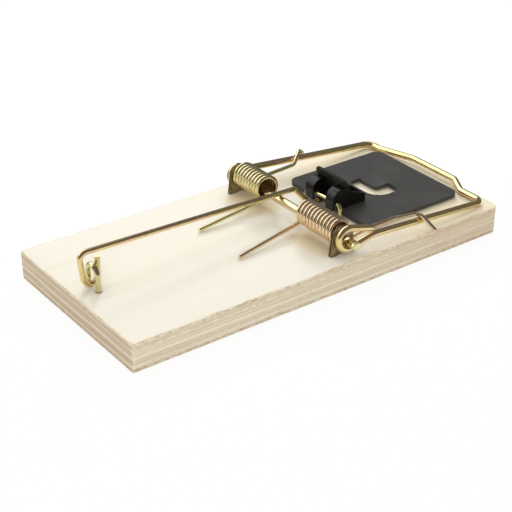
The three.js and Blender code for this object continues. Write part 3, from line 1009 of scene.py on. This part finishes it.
@dataclass
class Board(SubAssembly):
    """Plywood board with worn edges, relief between its plies and a well for each driven leg.

    A chip lifts the lower edge of the near side, given as its start and end in x and its depth.
    """

    plies: tuple[tuple[float, float], ...] = (
        (1.3, 0.9),
        (1.9, 0.25),
        (1.8, 0.95),
        (1.7, 0.1),
        (1.8, 0.75),
        (1.3, 0.2),
        (1.1, 0.9),
        (1.1, 0.0),
    )
    corner_radii: tuple[float, float, float, float] = (3.0, 2.4, 1.3, 1.2)
    corner_steps: int = 6
    outline_step: float = 0.9
    edge_break: float = 0.32
    groove_half: float = 0.16
    groove_depth: float = 0.085
    cross_ply_inset: float = 0.035
    cross_edge_inset: float = 0.03
    saw_depth: float = 0.05
    saw_rate: float = 0.7
    grit_rate: float = 1.9
    fray_depth: float = 0.28
    fray_rate: float = 0.9
    fray_height: float = 0.9
    chips: tuple[Point, ...] = ((24.0, 32.2, 0.5), (33.0, 61.5, 0.32), (-30.0, -19.0, 0.25))
    chip_rate: float = 0.8
    well_depth: float = 3.0
    well_gap: float = 0.22
    well_sides: int = 28
    well_crush: float = 0.07
    rim_widening: float = 0.14
    rim_depth: float = 0.12
    foot_widening: float = -0.02
    prong_width: float = 3.4
    prong_inset: float = 0.6
    sharp_degrees: float = 32.0

    def build(self) -> list[bpy.types.Object]:
        """Replaces the plain board by the worn one.

        Returns:
            The board.
        """
        _, high = (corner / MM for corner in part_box("base_board"))
        self.half_length, self.half_width, self.thick = high
        bm = bmesh.new()
        outline = self._outline()
        rings = [
            [bm.verts.new(self._edge_point(spot, out, z, inset) * MM) for spot, out in outline]
            for z, inset in self._profile()
        ]
        self._join_rings(bm, rings)
        bm.faces.new(list(reversed(rings[0])))
        edges = []
        for rim in (rings[-1], *[self._well(bm, well) for well in self._wells()]):
            edges += [bm.edges.get((a, b)) for a, b in zip(rim, rim[1:] + rim[:1])]
        bmesh.ops.triangle_fill(bm, edges=edges, use_beauty=True, normal=(0, 0, 1))
        bmesh.ops.recalc_face_normals(bm, faces=bm.faces)
        mesh = bpy.data.meshes.new("board")
        bm.to_mesh(mesh)
        bm.free()
        piece = new_object("board", mesh, self.sharp_degrees)
        finish = Plywood(self.half_length, self.half_width, self.thick, self.plies)
        dress(piece, finish.material())
        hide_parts("base_board")
        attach(piece, Body.BASE.value)
        return [piece]

    @staticmethod
    def _join_rings(bm: bmesh.types.BMesh, rings: Sequence[Ring]) -> None:
        """Adds the faces between each ring and the one that follows it.

        Args:
            bm: The board's mesh.
            rings: Closed rings with the same number of points.
        """
        for lower, upper in zip(rings, rings[1:]):
            for k, _ in enumerate(lower):
                after = (k + 1) % len(lower)
                bm.faces.new((lower[k], lower[after], upper[after], upper[k]))

    def _outline(self) -> list[tuple[Vector, Vector]]:
        """Goes round the board's plain outline.

        Returns:
            Points, each with its outward direction.
        """
        signs = ((1, -1), (1, 1), (-1, 1), (-1, -1))
        spots: list[tuple[Vector, Vector]] = []
        centres = [
            Vector((sx * (self.half_length - radius), sy * (self.half_width - radius), 0))
            for (sx, sy), radius in zip(signs, self.corner_radii)
        ]
        for corner, (centre, radius) in enumerate(zip(centres, self.corner_radii)):
            for k in range(self.corner_steps + 1):
                turn = math.radians(90 * (corner - 1) + 90 * k / self.corner_steps)
                out = Vector((math.cos(turn), math.sin(turn), 0))
                spots.append((centre + out * radius, out))
            last, out = spots[-1]
            following = (corner + 1) % len(centres)
            span = centres[following] + out * self.corner_radii[following] - last
            pieces = math.ceil(span.length / self.outline_step)
            spots += [(last + span * (k / pieces), out) for k in range(1, pieces)]
        return spots

    def _profile(self) -> list[tuple[float, float]]:
        """Goes up the side, with a fine groove at each glue line.

        Returns:
            Height and inset of each ring.
        """
        edge, half = self.edge_break, self.groove_half
        rings = [(0.0, edge * 3.5), (0.0, edge), (edge * 0.35, edge * 0.35), (edge, 0.0)]
        height = 0.0
        for thick, shade in self.plies[:-1]:
            middle = height + thick / 2
            if middle > edge * 1.5:
                rings.append((middle, self.cross_ply_inset * shade))
            height += thick
            rings.append((height - half, self.cross_edge_inset * shade))
            rings += [(height, self.groove_depth), (height + half, 0.0)]
        top = self.thick
        rings += [(top - edge * 1.6, 0.0), (top - edge * 0.8, edge * 0.12)]
        rings += [(top - edge * 0.3, edge * 0.4), (top, edge)]
        return rings

    def _edge_point(self, spot: Vector, out: Vector, z: float, inset: float) -> Vector:
        """A point of one ring, worn inward by saw marks, fray and chips.

        Args:
            spot: Point of the plain outline.
            out: Outward direction there.
            z: The ring's height.
            inset: The ring's inset.

        Returns:
            The point in millimetres.
        """

        def rough(rate: float, level: float) -> float:
            """Noise from -1 to 1 along the outline, read at a level of its own."""
            return noise.noise(Vector((spot.x * rate, spot.y * rate, level)))

        saw = rough(self.saw_rate, z * 0.25) + 1
        grit = rough(self.grit_rate, z * 1.7 + 40) + 1
        torn = rough(self.fray_rate, 9.0 if z < self.thick / 2 else 3.0)
        near_face = max(0.0, 1 - min(z, self.thick - z) / self.fray_height)
        worn = inset + self.saw_depth * (saw * 0.6 + grit * 0.4)
        worn += self.fray_depth * max(0.0, torn) * near_face
        lifted = z
        under = z == 0.0 and inset > 2 * self.edge_break
        faces_near_side = out.y < -0.9
        for start, end, depth in self.chips if faces_near_side and not under else ():
            if start < spot.x < end:
                bow = 1 - abs(2 * (spot.x - start) / (end - start) - 1) ** 4
                ragged = 0.75 + 0.5 * noise.noise(Vector((spot.x * self.chip_rate, 5.0, 1.0)))
                lifted = max(lifted, depth * bow * ragged)
        return Vector((spot.x, spot.y, lifted)) - out * worn

    def _wells(self) -> list[list[tuple[float, float]]]:
        """Goes round each driven leg and prong.

        Returns:
            Outline of each well, turning left, in millimetres.
        """
        wells = []
        for node in ("pedal_staple", "lock_staple"):
            low, high = (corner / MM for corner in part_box(node))
            radius = (high.x - low.x) / 2
            for y in (low.y + radius, high.y - radius):
                wells.append(self._round_well((low.x + high.x) / 2, y, radius + self.well_gap))
        half = self.prong_width / 2
        for node in ("bracket_near", "bracket_far"):
            low, high = (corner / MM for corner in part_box(node))
            near, far = low.y - self.well_gap, high.y + self.well_gap
            for side in (-1, 1):
                prong = side * ((high.x - low.x) / 2 - half - self.prong_inset)
                middle = (low.x + high.x) / 2 + prong
                left, right = middle - half - self.well_gap, middle + half + self.well_gap
                wells.append([(left, near), (right, near), (right, far), (left, far)])
        return wells

    def _round_well(self, x: float, y: float, radius: float) -> list[tuple[float, float]]:
        """A slightly crushed circle.

        Args:
            x: Its middle.
            y: Its middle.
            radius: Its radius.

        Returns:
            Points of the outline.
        """
        ring = []
        for k in range(self.well_sides):
            turn = 2 * math.pi * k / self.well_sides
            bruise = noise.noise(Vector((x + math.cos(turn), y + math.sin(turn), 7.0)))
            crush = radius + self.well_crush * bruise
            ring.append((x + crush * math.cos(turn), y + crush * math.sin(turn)))
        return ring

    def _well(self, bm: bmesh.types.BMesh, outline: list[tuple[float, float]]) -> Ring:
        """Adds a blind well with a bruised rim.

        Args:
            bm: The board's mesh.
            outline: The well's outline.

        Returns:
            The rim's points on the face, for the face round it.
        """
        middle_x, middle_y = (sum(numbers) / len(outline) for numbers in zip(*outline))
        levels = (
            (self.thick, self.rim_widening),
            (self.thick - self.rim_depth, 0.0),
            (self.thick - self.well_depth, self.foot_widening),
        )
        rings = []
        for z, widening in levels:
            ring = []
            for x, y in outline:
                out = Vector((x - middle_x, y - middle_y, 0)).normalized()
                ring.append(bm.verts.new((Vector((x, y, z)) + out * widening) * MM))
            rings.append(ring)
        self._join_rings(bm, rings)
        bm.faces.new(rings[-1])
        return rings[0]


@dataclass
class Brackets(SubAssembly):
    """The two upright plates that carry the pivot rod."""

    edge_round: float = 0.16

    def build(self) -> list[bpy.types.Object]:
        """Softens and dresses both plates.

        Returns:
            The plates.
        """
        low, high = (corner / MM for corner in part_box("bracket_far"))
        material = BracketSteel((low.y + high.y) / 2, (high.y - low.y) / 2).material()
        plates = [bpy.data.objects["bracket_near"], bpy.data.objects["bracket_far"]]
        for plate in plates:
            soften_edges(plate, self.edge_round)
            dress(plate, material)
        return plates


@dataclass
class PivotRod(SubAssembly):
    """Rod that the bail turns on, its ends pressed flat to hold the eyes."""

    material: bpy.types.Material
    wire: Wire = Wire(3.5, 28, 0.3, 0.35)
    head_length: float = 1.4
    head_taper: float = 1.0
    head_spread: float = 1.24
    head_squash: float = 0.8

    def build(self) -> list[bpy.types.Object]:
        """Replaces the plain rod by the swaged one.

        Returns:
            The rod.
        """
        low, high = (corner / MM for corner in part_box("pivot_rod"))
        x, z = (low.x + high.x) / 2, (low.z + high.z) / 2
        length = high.y - low.y

        def pressed(along: float) -> tuple[float, float]:
            """Section factors, which differ from 1 near the pressed ends.

            Args:
                along: Length along the rod.

            Returns:
                Factors of its width and height.
            """
            from_head = min(along, length - along) - self.head_length
            share = min(1.0, max(0.0, from_head / self.head_taper))
            press = 1 - share * share * (3 - 2 * share)
            return 1 + (self.head_spread - 1) * press, 1 + (self.head_squash - 1) * press

        piece = self.wire.swept("rod", [Vector((x, low.y, z)), Vector((x, high.y, z))], pressed)
        dress(piece, self.material)
        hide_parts("pivot_rod")
        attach(piece, Body.BASE.value)
        return [piece]


@dataclass
class Bail(SubAssembly):
    """The striking wire: a wide open eye with a tail, two arms, a jogged end bar, a tight eye.

    The turns of the eyes are their first and last angle in degrees, from +X towards +Z.
    """

    material: bpy.types.Material
    pivot: Vector
    board_thick: float
    wire: Wire = Wire(2.8, 22)
    rod_diameter: float = 3.5
    near_y: float = -37.0
    far_y: float = 35.9
    far_corner_y: float = 34.8
    end_bar_x: float = 83.7
    middle_reach: float = 3.7
    middle_rise: float = 1.1
    middle_near_y: float = -16.4
    middle_far_y: float = 9.4
    near_jog_length: float = 7.5
    far_jog_length: float = 19.0
    rest_gap: float = 0.2
    run_gap: float = 0.3
    eye_radius: float = 4.45
    eye_shift_x: float = 0.2
    eye_shift_z: float = 0.75
    wide_turn: tuple[float, float] = (80, 284)
    wide_steps: int = 56
    tight_turn: tuple[float, float] = (76, 318)
    tight_steps: int = 46
    tail_reach: float = 12.6
    tail_rise: float = 1.8
    near_knee_x: float = 24.0
    near_knee_drop: float = 1.2
    far_knee_x: float = 17.5
    far_knee_rise: float = 1.0
    knee_radius: float = 14.0
    corner_radius: float = 4.2
    jog_radius: float = 4.5

    @property
    def bar_z(self) -> float:
        """Height of the end bar's middle."""
        return self.board_thick + self.rest_gap + self.wire.diameter / 2

    def arm_height(self, side: Side, x: float) -> float:
        """Height of an arm's middle.

        Args:
            side: Which arm.
            x: Where along the board.

        Returns:
            The height, on the straight run from the arm's knee to the end bar.
        """
        knee_x, knee_z = self.near_knee_x, self.pivot.z - self.near_knee_drop
        if side is Side.FAR:
            knee_x, knee_z = self.far_knee_x, self.pivot.z + self.far_knee_rise
        return knee_z + (self.bar_z - knee_z) * (x - knee_x) / (self.end_bar_x - knee_x)

    def path(self) -> list[Vector]:
        """Leads the wire from its tail to the tight eye.

        Returns:
            The route's points in millimetres.
        """
        px, pz = self.pivot.x, self.pivot.z
        wide_centre = Vector((px + self.eye_shift_x, self.near_y, pz + self.eye_shift_z))
        wide_eye = arc(wide_centre, self.eye_radius, *self.wide_turn, self.wide_steps)
        tight_radius = (self.rod_diameter + self.wire.diameter) / 2 + self.run_gap
        tight_centre = Vector((px, self.far_y, pz))
        tight_eye = arc(tight_centre, tight_radius, *self.tight_turn, self.tight_steps)
        bar_x, bar_z = self.end_bar_x, self.bar_z
        middle_x, middle_z = bar_x + self.middle_reach, bar_z + self.middle_rise
        between = (
            (self.near_knee_x, self.near_y, pz - self.near_knee_drop, self.knee_radius),
            (bar_x, self.near_y, bar_z, self.corner_radius),
            (bar_x, self.middle_near_y - self.near_jog_length, bar_z, self.jog_radius),
            (middle_x, self.middle_near_y, middle_z, self.jog_radius),
            (middle_x, self.middle_far_y, middle_z, self.jog_radius),
            (bar_x, self.middle_far_y + self.far_jog_length, bar_z, self.jog_radius),
            (bar_x, self.far_corner_y, bar_z, self.corner_radius),
            (self.far_knee_x, self.far_y, pz + self.far_knee_rise, self.knee_radius),
        )
        corners = [wide_eye[-1], *[Vector(corner[:3]) for corner in between], tight_eye[0]]
        frame = rounded_path(corners, [0, *[corner[3] for corner in between], 0])
        tail = Vector((px + self.tail_reach, self.near_y, pz + self.tail_rise))
        return [tail, *wide_eye[:-1], *frame, *tight_eye[1:]]

    def build(self) -> list[bpy.types.Object]:
        """Replaces the faceted bail by a smooth one.

        Returns:
            The bail.
        """
        piece = self.wire.swept("bail_wire", self.path())
        dress(piece, self.material)
        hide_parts("bail")
        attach(piece, Body.BAIL.value)
        return [piece]


@dataclass
class TorsionSpring(SubAssembly):
    """Close coil round the rod, with a foot on the board and a hook over the bail's arm.

    The hook's points are given as x, y from the board's middle line and height.
    """

    side: Side
    finish: CoilWire
    pivot: Vector
    board_thick: float
    turns: int
    inner_y: float
    foot_tip_y: float
    hook: tuple[Point, ...]
    hook_radii: tuple[float, ...]
    outer_y: float = 32.0
    foot_tip_x: float = -24.2
    foot_gap: float = 0.25
    mean_radius: float = 4.6
    axis_rise: float = 1.5
    axis_forward: float = 0.4
    foot_bend: Point = (-2.6, -0.2, 0.05)
    foot_radius: float = 5.0
    foot_step_degrees: float = 2
    foot_overlap: float = 0.3
    hook_start: Point = (3.6, 0.05, 0.1)
    hook_step_degrees: float = 9
    still_length: float = 0.3
    steps_per_turn: int = 32
    wire: Wire = Wire(1.7, 16, 0.12, 1.2)

    def paths(self) -> tuple[list[Vector], list[Vector]]:
        """Routes of the foot, which stays on the board, and of the coil with its hook.

        Returns:
            Both in millimetres, the foot's ending just inside the coil's first turn.
        """
        sign = self.side.value
        axis_x = self.pivot.x + self.axis_forward
        axis_z = self.pivot.z + self.axis_rise

        def under(y: float, shift: Point) -> Vector:
            """The coil's lowest point at y, shifted along the board, outward and up."""
            lowest = axis_z - self.mean_radius
            return Vector((axis_x + shift[0], sign * (y + shift[1]), lowest + shift[2]))

        coil = []
        steps = self.turns * self.steps_per_turn
        for k in range(steps + 1):
            turn = 2 * math.pi * k / self.steps_per_turn
            x = axis_x + self.mean_radius * math.sin(turn)
            y = self.inner_y + (self.outer_y - self.inner_y) * k / steps
            coil.append(Vector((x, sign * y, axis_z - self.mean_radius * math.cos(turn))))
        foot_z = self.board_thick + self.foot_gap + self.wire.diameter / 2
        tip = Vector((self.foot_tip_x, sign * self.foot_tip_y, foot_z))
        foot_corners = [tip, under(self.inner_y, self.foot_bend), coil[0], coil[1]]
        foot = rounded_path(foot_corners, (0, self.foot_radius, 0, 0), self.foot_step_degrees)
        overlap = coil[0].lerp(coil[1], self.foot_overlap / (coil[1] - coil[0]).length)
        hook_corners = [coil[-1], under(self.outer_y, self.hook_start)]
        hook_corners += [Vector((x, sign * y, z)) for x, y, z in self.hook]
        hook = rounded_path(hook_corners, self.hook_radii, self.hook_step_degrees)
        return [*foot[:-1], overlap], [*coil[:-1], *hook]

    def build(self) -> list[bpy.types.Object]:
        """Replaces the faceted spring by a foot and a coil with its hook.

        Returns:
            The foot, and the coil with its hook.
        """
        axis = (self.pivot.x + self.axis_forward, self.pivot.z + self.axis_rise)
        material = replace(self.finish, axis=axis, radius=self.mean_radius).material()
        label = self.side.name.lower()
        foot_path, coil_path = self.paths()
        foot = self.wire.swept(f"spring_{label}_foot", foot_path)
        coil = self.wire.swept(f"spring_{label}_coil", coil_path)
        for piece in (foot, coil):
            dress(piece, material)
            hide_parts(f"spring_{label}")
        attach(foot, Body.BASE.value)
        sides = (self.inner_y + self.still_length, self.outer_y - self.still_length)
        start, end = (
            Vector((self.pivot.x, self.side.value * y, self.pivot.z)) * MM for y in sides
        )
        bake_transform(coil)
        return [foot, coil]


@dataclass
class Staple(SubAssembly):
    """A driven staple: two legs and a round-shouldered span."""

    node: str
    material: bpy.types.Material
    wire: Wire
    shoulder: float
    step_degrees: float = 6

    def build(self) -> list[bpy.types.Object]:
        """Replaces the faceted staple by a smooth one.

        Returns:
            The staple.
        """
        low, high = (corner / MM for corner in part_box(self.node))
        half = self.wire.diameter / 2
        x, foot, top = (low.x + high.x) / 2, low.z, high.z - half
        near, far = low.y + half, high.y - half
        route = ((near, foot), (near, top), (far, top), (far, foot))
        corners = [Vector((x, y, z)) for y, z in route]
        path = rounded_path(corners, (0, self.shoulder, self.shoulder, 0), self.step_degrees)
        piece = self.wire.swept(f"{self.node}_wire", path)
        dress(piece, self.material)
        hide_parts(self.node)
        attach(piece, Body.BASE.value)
        return [piece]


@dataclass
class Pedal(SubAssembly):
    """Moulded bait pedal with its hinge block."""

    edge_round: float = 0.22
    block_end_x: float = 43.9
    plate_top: float = 14.3

    def build(self) -> list[bpy.types.Object]:
        """Softens and dresses the moulding.

        Returns:
            The pedal.
        """
        piece = bpy.data.objects["pedal"]
        soften_edges(piece, self.edge_round)
        finish = MouldedPlastic(self.block_end_x, self.plate_top)
        dress(piece, finish.material())
        return [piece]


@dataclass
class LockBar(SubAssembly):
    """Long wire from its open eye at the staple, over the rod, to the nose by the pedal."""

    material: bpy.types.Material
    wire: Wire = Wire(2.2, 20)
    corners: tuple[Point, ...] = (
        (-77.2, 1.0, 24.1),
        (-77.2, 1.0, 15.2),
        (-80.9, 0.6, 12.6),
        (-83.9, 0.2, 16.4),
        (-85.1, 0.2, 27.88),
        (18.6, 6.1, 21.4),
        (22.4, 2.0, 15.9),
        (27.0, 0.9, 15.6),
    )
    radii: tuple[float, ...] = (0, 2.4, 2.4, 4.0, 2.6, 2.2, 2.0, 0)

    def build(self) -> list[bpy.types.Object]:
        """Replaces the faceted bar by a smooth one.

        Returns:
            The lock bar.
        """
        path = rounded_path([Vector(corner) for corner in self.corners], self.radii)
        piece = self.wire.swept("lock_bar_wire", path)
        dress(piece, self.material)
        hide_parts("lock_bar")
        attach(piece, Body.LOCK_BAR.value)
        return [piece]


# ---- Studio ----


@dataclass(frozen=True)
class Lamp:
    """A square soft lamp aimed at the board."""

    name: str
    direction: Point
    distance: float
    size: float
    power: float


@dataclass
class Studio(SubAssembly):
    """Pale floor, soft light and the camera.

    Mirrored rays see a dim room with a pale panel behind the object and a low one beside it. The
    masks on the panels are directions, and floor_split is in millimetres along floor_way.
    """

    lamps: tuple[Lamp, ...] = (
        Lamp("key_lamp", (0.12, 0.45, 1.0), 0.75, 0.55, 1.3),
        Lamp("back_lamp", (0.55, 0.75, 0.52), 0.8, 0.16, 2.5),
        Lamp("fill_lamp", (-0.62, -0.75, 0.38), 0.9, 0.5, 2.55),
    )
    ambient: float = 0.62
    ambient_tint: Colour = (1.0, 0.95, 0.82)
    dark_room: float = 0.16
    panel_share: float = 2.4
    panel_back: Mask = Mask(0.25, 0.50)
    panel_right: Mask = Mask(0.56, 0.32)
    panel_top: Mask = Mask(0.92, 0.72)
    panel_foot: Mask = Mask(0.22, 0.46)
    side_panel: Mask = Mask(0.60, 0.85, 0.7)
    side_panel_way: float = 0.7
    side_panel_top: Mask = Mask(0.38, 0.22)
    floor_size: float = 30.0
    floor_drop: float = 0.00002
    floor_white: Colour = (1.0, 1.0, 1.0)
    floor_behind: Colour = (0.16, 0.14, 0.10)
    floor_way: tuple[float, float] = (0.6, 0.8)
    floor_split: Mask = Mask(-30.0, 30.0)
    floor_glow: float = 0.92
    camera_place: Point = (-0.27966165, -0.37360592, 0.26181256)
    camera_turn: Point = (60.60412, -0.02992, -36.26409)
    lens: float = 92.647
    sensor_width: float = 36.0
    clip: tuple[float, float] = (0.01, 100.0)

    def build(self) -> list[bpy.types.Object]:
        """Sets the stage; none of it is part of the object.

        Returns:
            The floor.
        """
        floor = self._floor()
        for lamp in self.lamps:
            self._light(lamp)
        self._world()
        self._camera()
        return [floor]

    def _floor(self) -> bpy.types.Object:
        """Makes a flat white floor that keeps the object's shadow; mirrors see its far part dim.

        Returns:
            The floor.
        """
        half = self.floor_size / 2
        corners = [(-half, -half), (half, -half), (half, half), (-half, half)]
        points = [Vector((x, y, -self.floor_drop)) for x, y in corners]
        floor = mesh_object("floor", points, [(0, 1, 2, 3)])
        material = bpy.data.materials.new("floor")
        shader = Shader(material)
        rays = shader.node("ShaderNodeLightPath").outputs
        mirrored = Value(shader, rays["Is Glossy Ray"])
        seen = Value(shader, rays["Is Camera Ray"]).most(mirrored)
        seen = seen.most(Value(shader, rays["Is Transmission Ray"]))
        x, y, _ = shader.parts(shader.object_place())
        behind = (x * self.floor_way[0] + y * self.floor_way[1]).through(self.floor_split)
        shade = shader.mix(mirrored * behind, self.floor_white, self.floor_behind)
        matte = shader.node("ShaderNodeBsdfDiffuse", {}, {"Color": shade}).outputs[0]
        white = shader.node("ShaderNodeEmission", {}, {"Color": shade, "Strength": 1.0}).outputs[0]
        sockets = {0: seen * self.floor_glow, 1: matte, 2: white}
        mixed = shader.node("ShaderNodeMixShader", {}, sockets)
        shader.node("ShaderNodeOutputMaterial", {}, {"Surface": mixed.outputs[0]})
        floor.data.materials.append(material)
        return floor

    @staticmethod
    def _light(lamp: Lamp) -> None:
        """Adds one soft lamp, which mirrors don't show.

        Args:
            lamp: Its place, size and power.
        """
        light = bpy.data.lights.new(lamp.name, "AREA")
        light.energy = lamp.power
        light.size = lamp.size
        made = bpy.data.objects.new(lamp.name, light)
        away = Vector(lamp.direction).normalized()
        made.location = away * lamp.distance
        made.rotation_mode = "QUATERNION"
        made.rotation_quaternion = away.to_track_quat("Z", "Y")
        made.visible_glossy = False
        bpy.context.scene.collection.objects.link(made)

    def _world(self) -> None:
        """White behind the object, even light on it, and a dim room with panels in mirrors."""
        world = bpy.data.worlds.new("studio")
        bpy.context.scene.world = world
        shader = Shader(world)
        rays = shader.node("ShaderNodeLightPath").outputs
        camera = Value(shader, rays["Is Camera Ray"])
        glossy = Value(shader, rays["Is Glossy Ray"])
        x, y, z = shader.parts(shader.node("ShaderNodeTexCoord").outputs["Generated"])
        panel = y.through(self.panel_back) * x.through(self.panel_right)
        panel = panel * z.through(self.panel_top) * z.through(self.panel_foot)
        aside = y * self.side_panel_way - x * self.side_panel_way
        side_panel = aside.through(self.side_panel) * z.through(self.side_panel_top)
        mirrored = self.dark_room + panel * self.panel_share + side_panel
        lit = glossy * mirrored + (1.0 - glossy) * self.ambient
        strength = camera + (1.0 - camera) * lit
        tint = shader.mix(camera.most(glossy), self.ambient_tint, (1.0, 1.0, 1.0))
        light = shader.node("ShaderNodeBackground", {}, {"Color": tint, "Strength": strength})
        shader.node("ShaderNodeOutputWorld", {}, {"Surface": light.outputs[0]})

    def _camera(self) -> None:
        """The photograph's view of the board."""
        lens = bpy.data.cameras.new("camera")
        lens.lens = self.lens
        lens.sensor_width = self.sensor_width
        lens.clip_start, lens.clip_end = self.clip
        made = bpy.data.objects.new("camera", lens)
        made.location = self.camera_place
        made.rotation_euler = Euler([math.radians(turn) for turn in self.camera_turn], "XYZ")
        bpy.context.scene.collection.objects.link(made)
        bpy.context.scene.camera = made


# ---- The trap ----

GOLD = ZincWire("zinc_wire")
GREEN = ZincWire(
    "zinc_staple", (0.66, 0.62, 0.32), (0.74, 0.64, 0.36), (0.50, 0.55, 0.20), patch_length=9.0
)
ROD_GREEN = ZincWire(
    "zinc_rod", (0.80, 0.67, 0.34), (0.82, 0.62, 0.40), (0.68, 0.66, 0.24), patch_length=24.0
)
PINK_GOLD = CoilWire(
    "zinc_spring_near", (0.83, 0.66, 0.42), (0.85, 0.60, 0.47), (0.72, 0.65, 0.35), 34.0
)
GREEN_GOLD = CoilWire(
    "zinc_spring_far", (0.82, 0.74, 0.40), (0.84, 0.69, 0.50), (0.66, 0.68, 0.20), 34.0
)
PACKED_SPRING_WIRE = 1.4
HOOK_GAP = 0.3


def joint_place(frame: dict, name: str) -> Vector:
    """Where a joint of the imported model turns, in millimetres."""
    joint = next(joint for joint in frame["joints"] if joint["name"] == name)
    return Vector(joint["pos_m"]) / MM


def springs(bail: Bail) -> list[TorsionSpring]:
    """Both springs, with hooks that lead over the bail's arms and end outside them.

    Args:
        bail: The bail that the hooks hold.

    Returns:
        The near spring and the far one.
    """
    near_x, far_x = 48.3, 43.9
    over_arm = (bail.wire.diameter + PACKED_SPRING_WIRE) / 2 + HOOK_GAP
    near_z = bail.arm_height(Side.NEAR, near_x) + over_arm
    far_z = bail.arm_height(Side.FAR, far_x) + over_arm
    near_hook = (
        (28.0, 32.6, 18.1),
        (38.5, 33.0, 18.4),
        (47.3, 35.8, near_z + 0.4),
        (near_x, 38.2, near_z + 0.2),
        (51.2, 43.6, bail.board_thick + 1.3),
    )
    far_hook = (
        (25.2, 32.0, 16.1),
        (38.6, 32.2, 16.8),
        (40.6, 33.0, far_z - 0.5),
        (far_x, 35.6, far_z + 0.9),
        (47.4, 37.8, far_z - 1.8),
    )
    near = TorsionSpring(
        side=Side.NEAR,
        finish=PINK_GOLD,
        pivot=bail.pivot,
        board_thick=bail.board_thick,
        turns=11,
        inner_y=9.9,
        foot_tip_y=14.6,
        hook=near_hook,
        hook_radii=(0, 0, 6.0, 3.0, 1.2, 1.2, 0),
    )
    far = replace(
        near,
        side=Side.FAR,
        finish=GREEN_GOLD,
        turns=9,
        inner_y=14.8,
        foot_tip_y=12.6,
        hook=far_hook,
        hook_radii=(0, 0, 6.0, 3.0, 1.6, 1.2, 0),
    )
    return [near, far]


def main() -> None:
    """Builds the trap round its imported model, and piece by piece."""
    logging.basicConfig(level=logging.INFO, format="%(name)s: %(message)s")
    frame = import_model()
    scene = bpy.context.scene
    scene.view_settings.view_transform = "Standard"

    gold, green = GOLD.material(), GREEN.material()
    board_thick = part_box("base_board")[1].z / MM
    bail = Bail(gold, joint_place(frame, "bail_swing"), board_thick)
    assemblies: list[SubAssembly] = [
        Studio(),
        Board(),
        Brackets(),
        PivotRod(ROD_GREEN.material()),
        bail,
        *springs(bail),
        Staple("pedal_staple", green, Wire(1.8, 18, 0.12, 1.0), shoulder=2.1),
        Staple("lock_staple", green, Wire(2.2, 20, 0.15, 1.0), shoulder=3.55),
        Pedal(),
        LockBar(gold),
    ]
    for assembly in assemblies:
        for piece in assembly.build():
            LOG.info("%s made by %s", piece.name, type(assembly).__name__)

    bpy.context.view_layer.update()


if __name__ == "__main__":
    main()
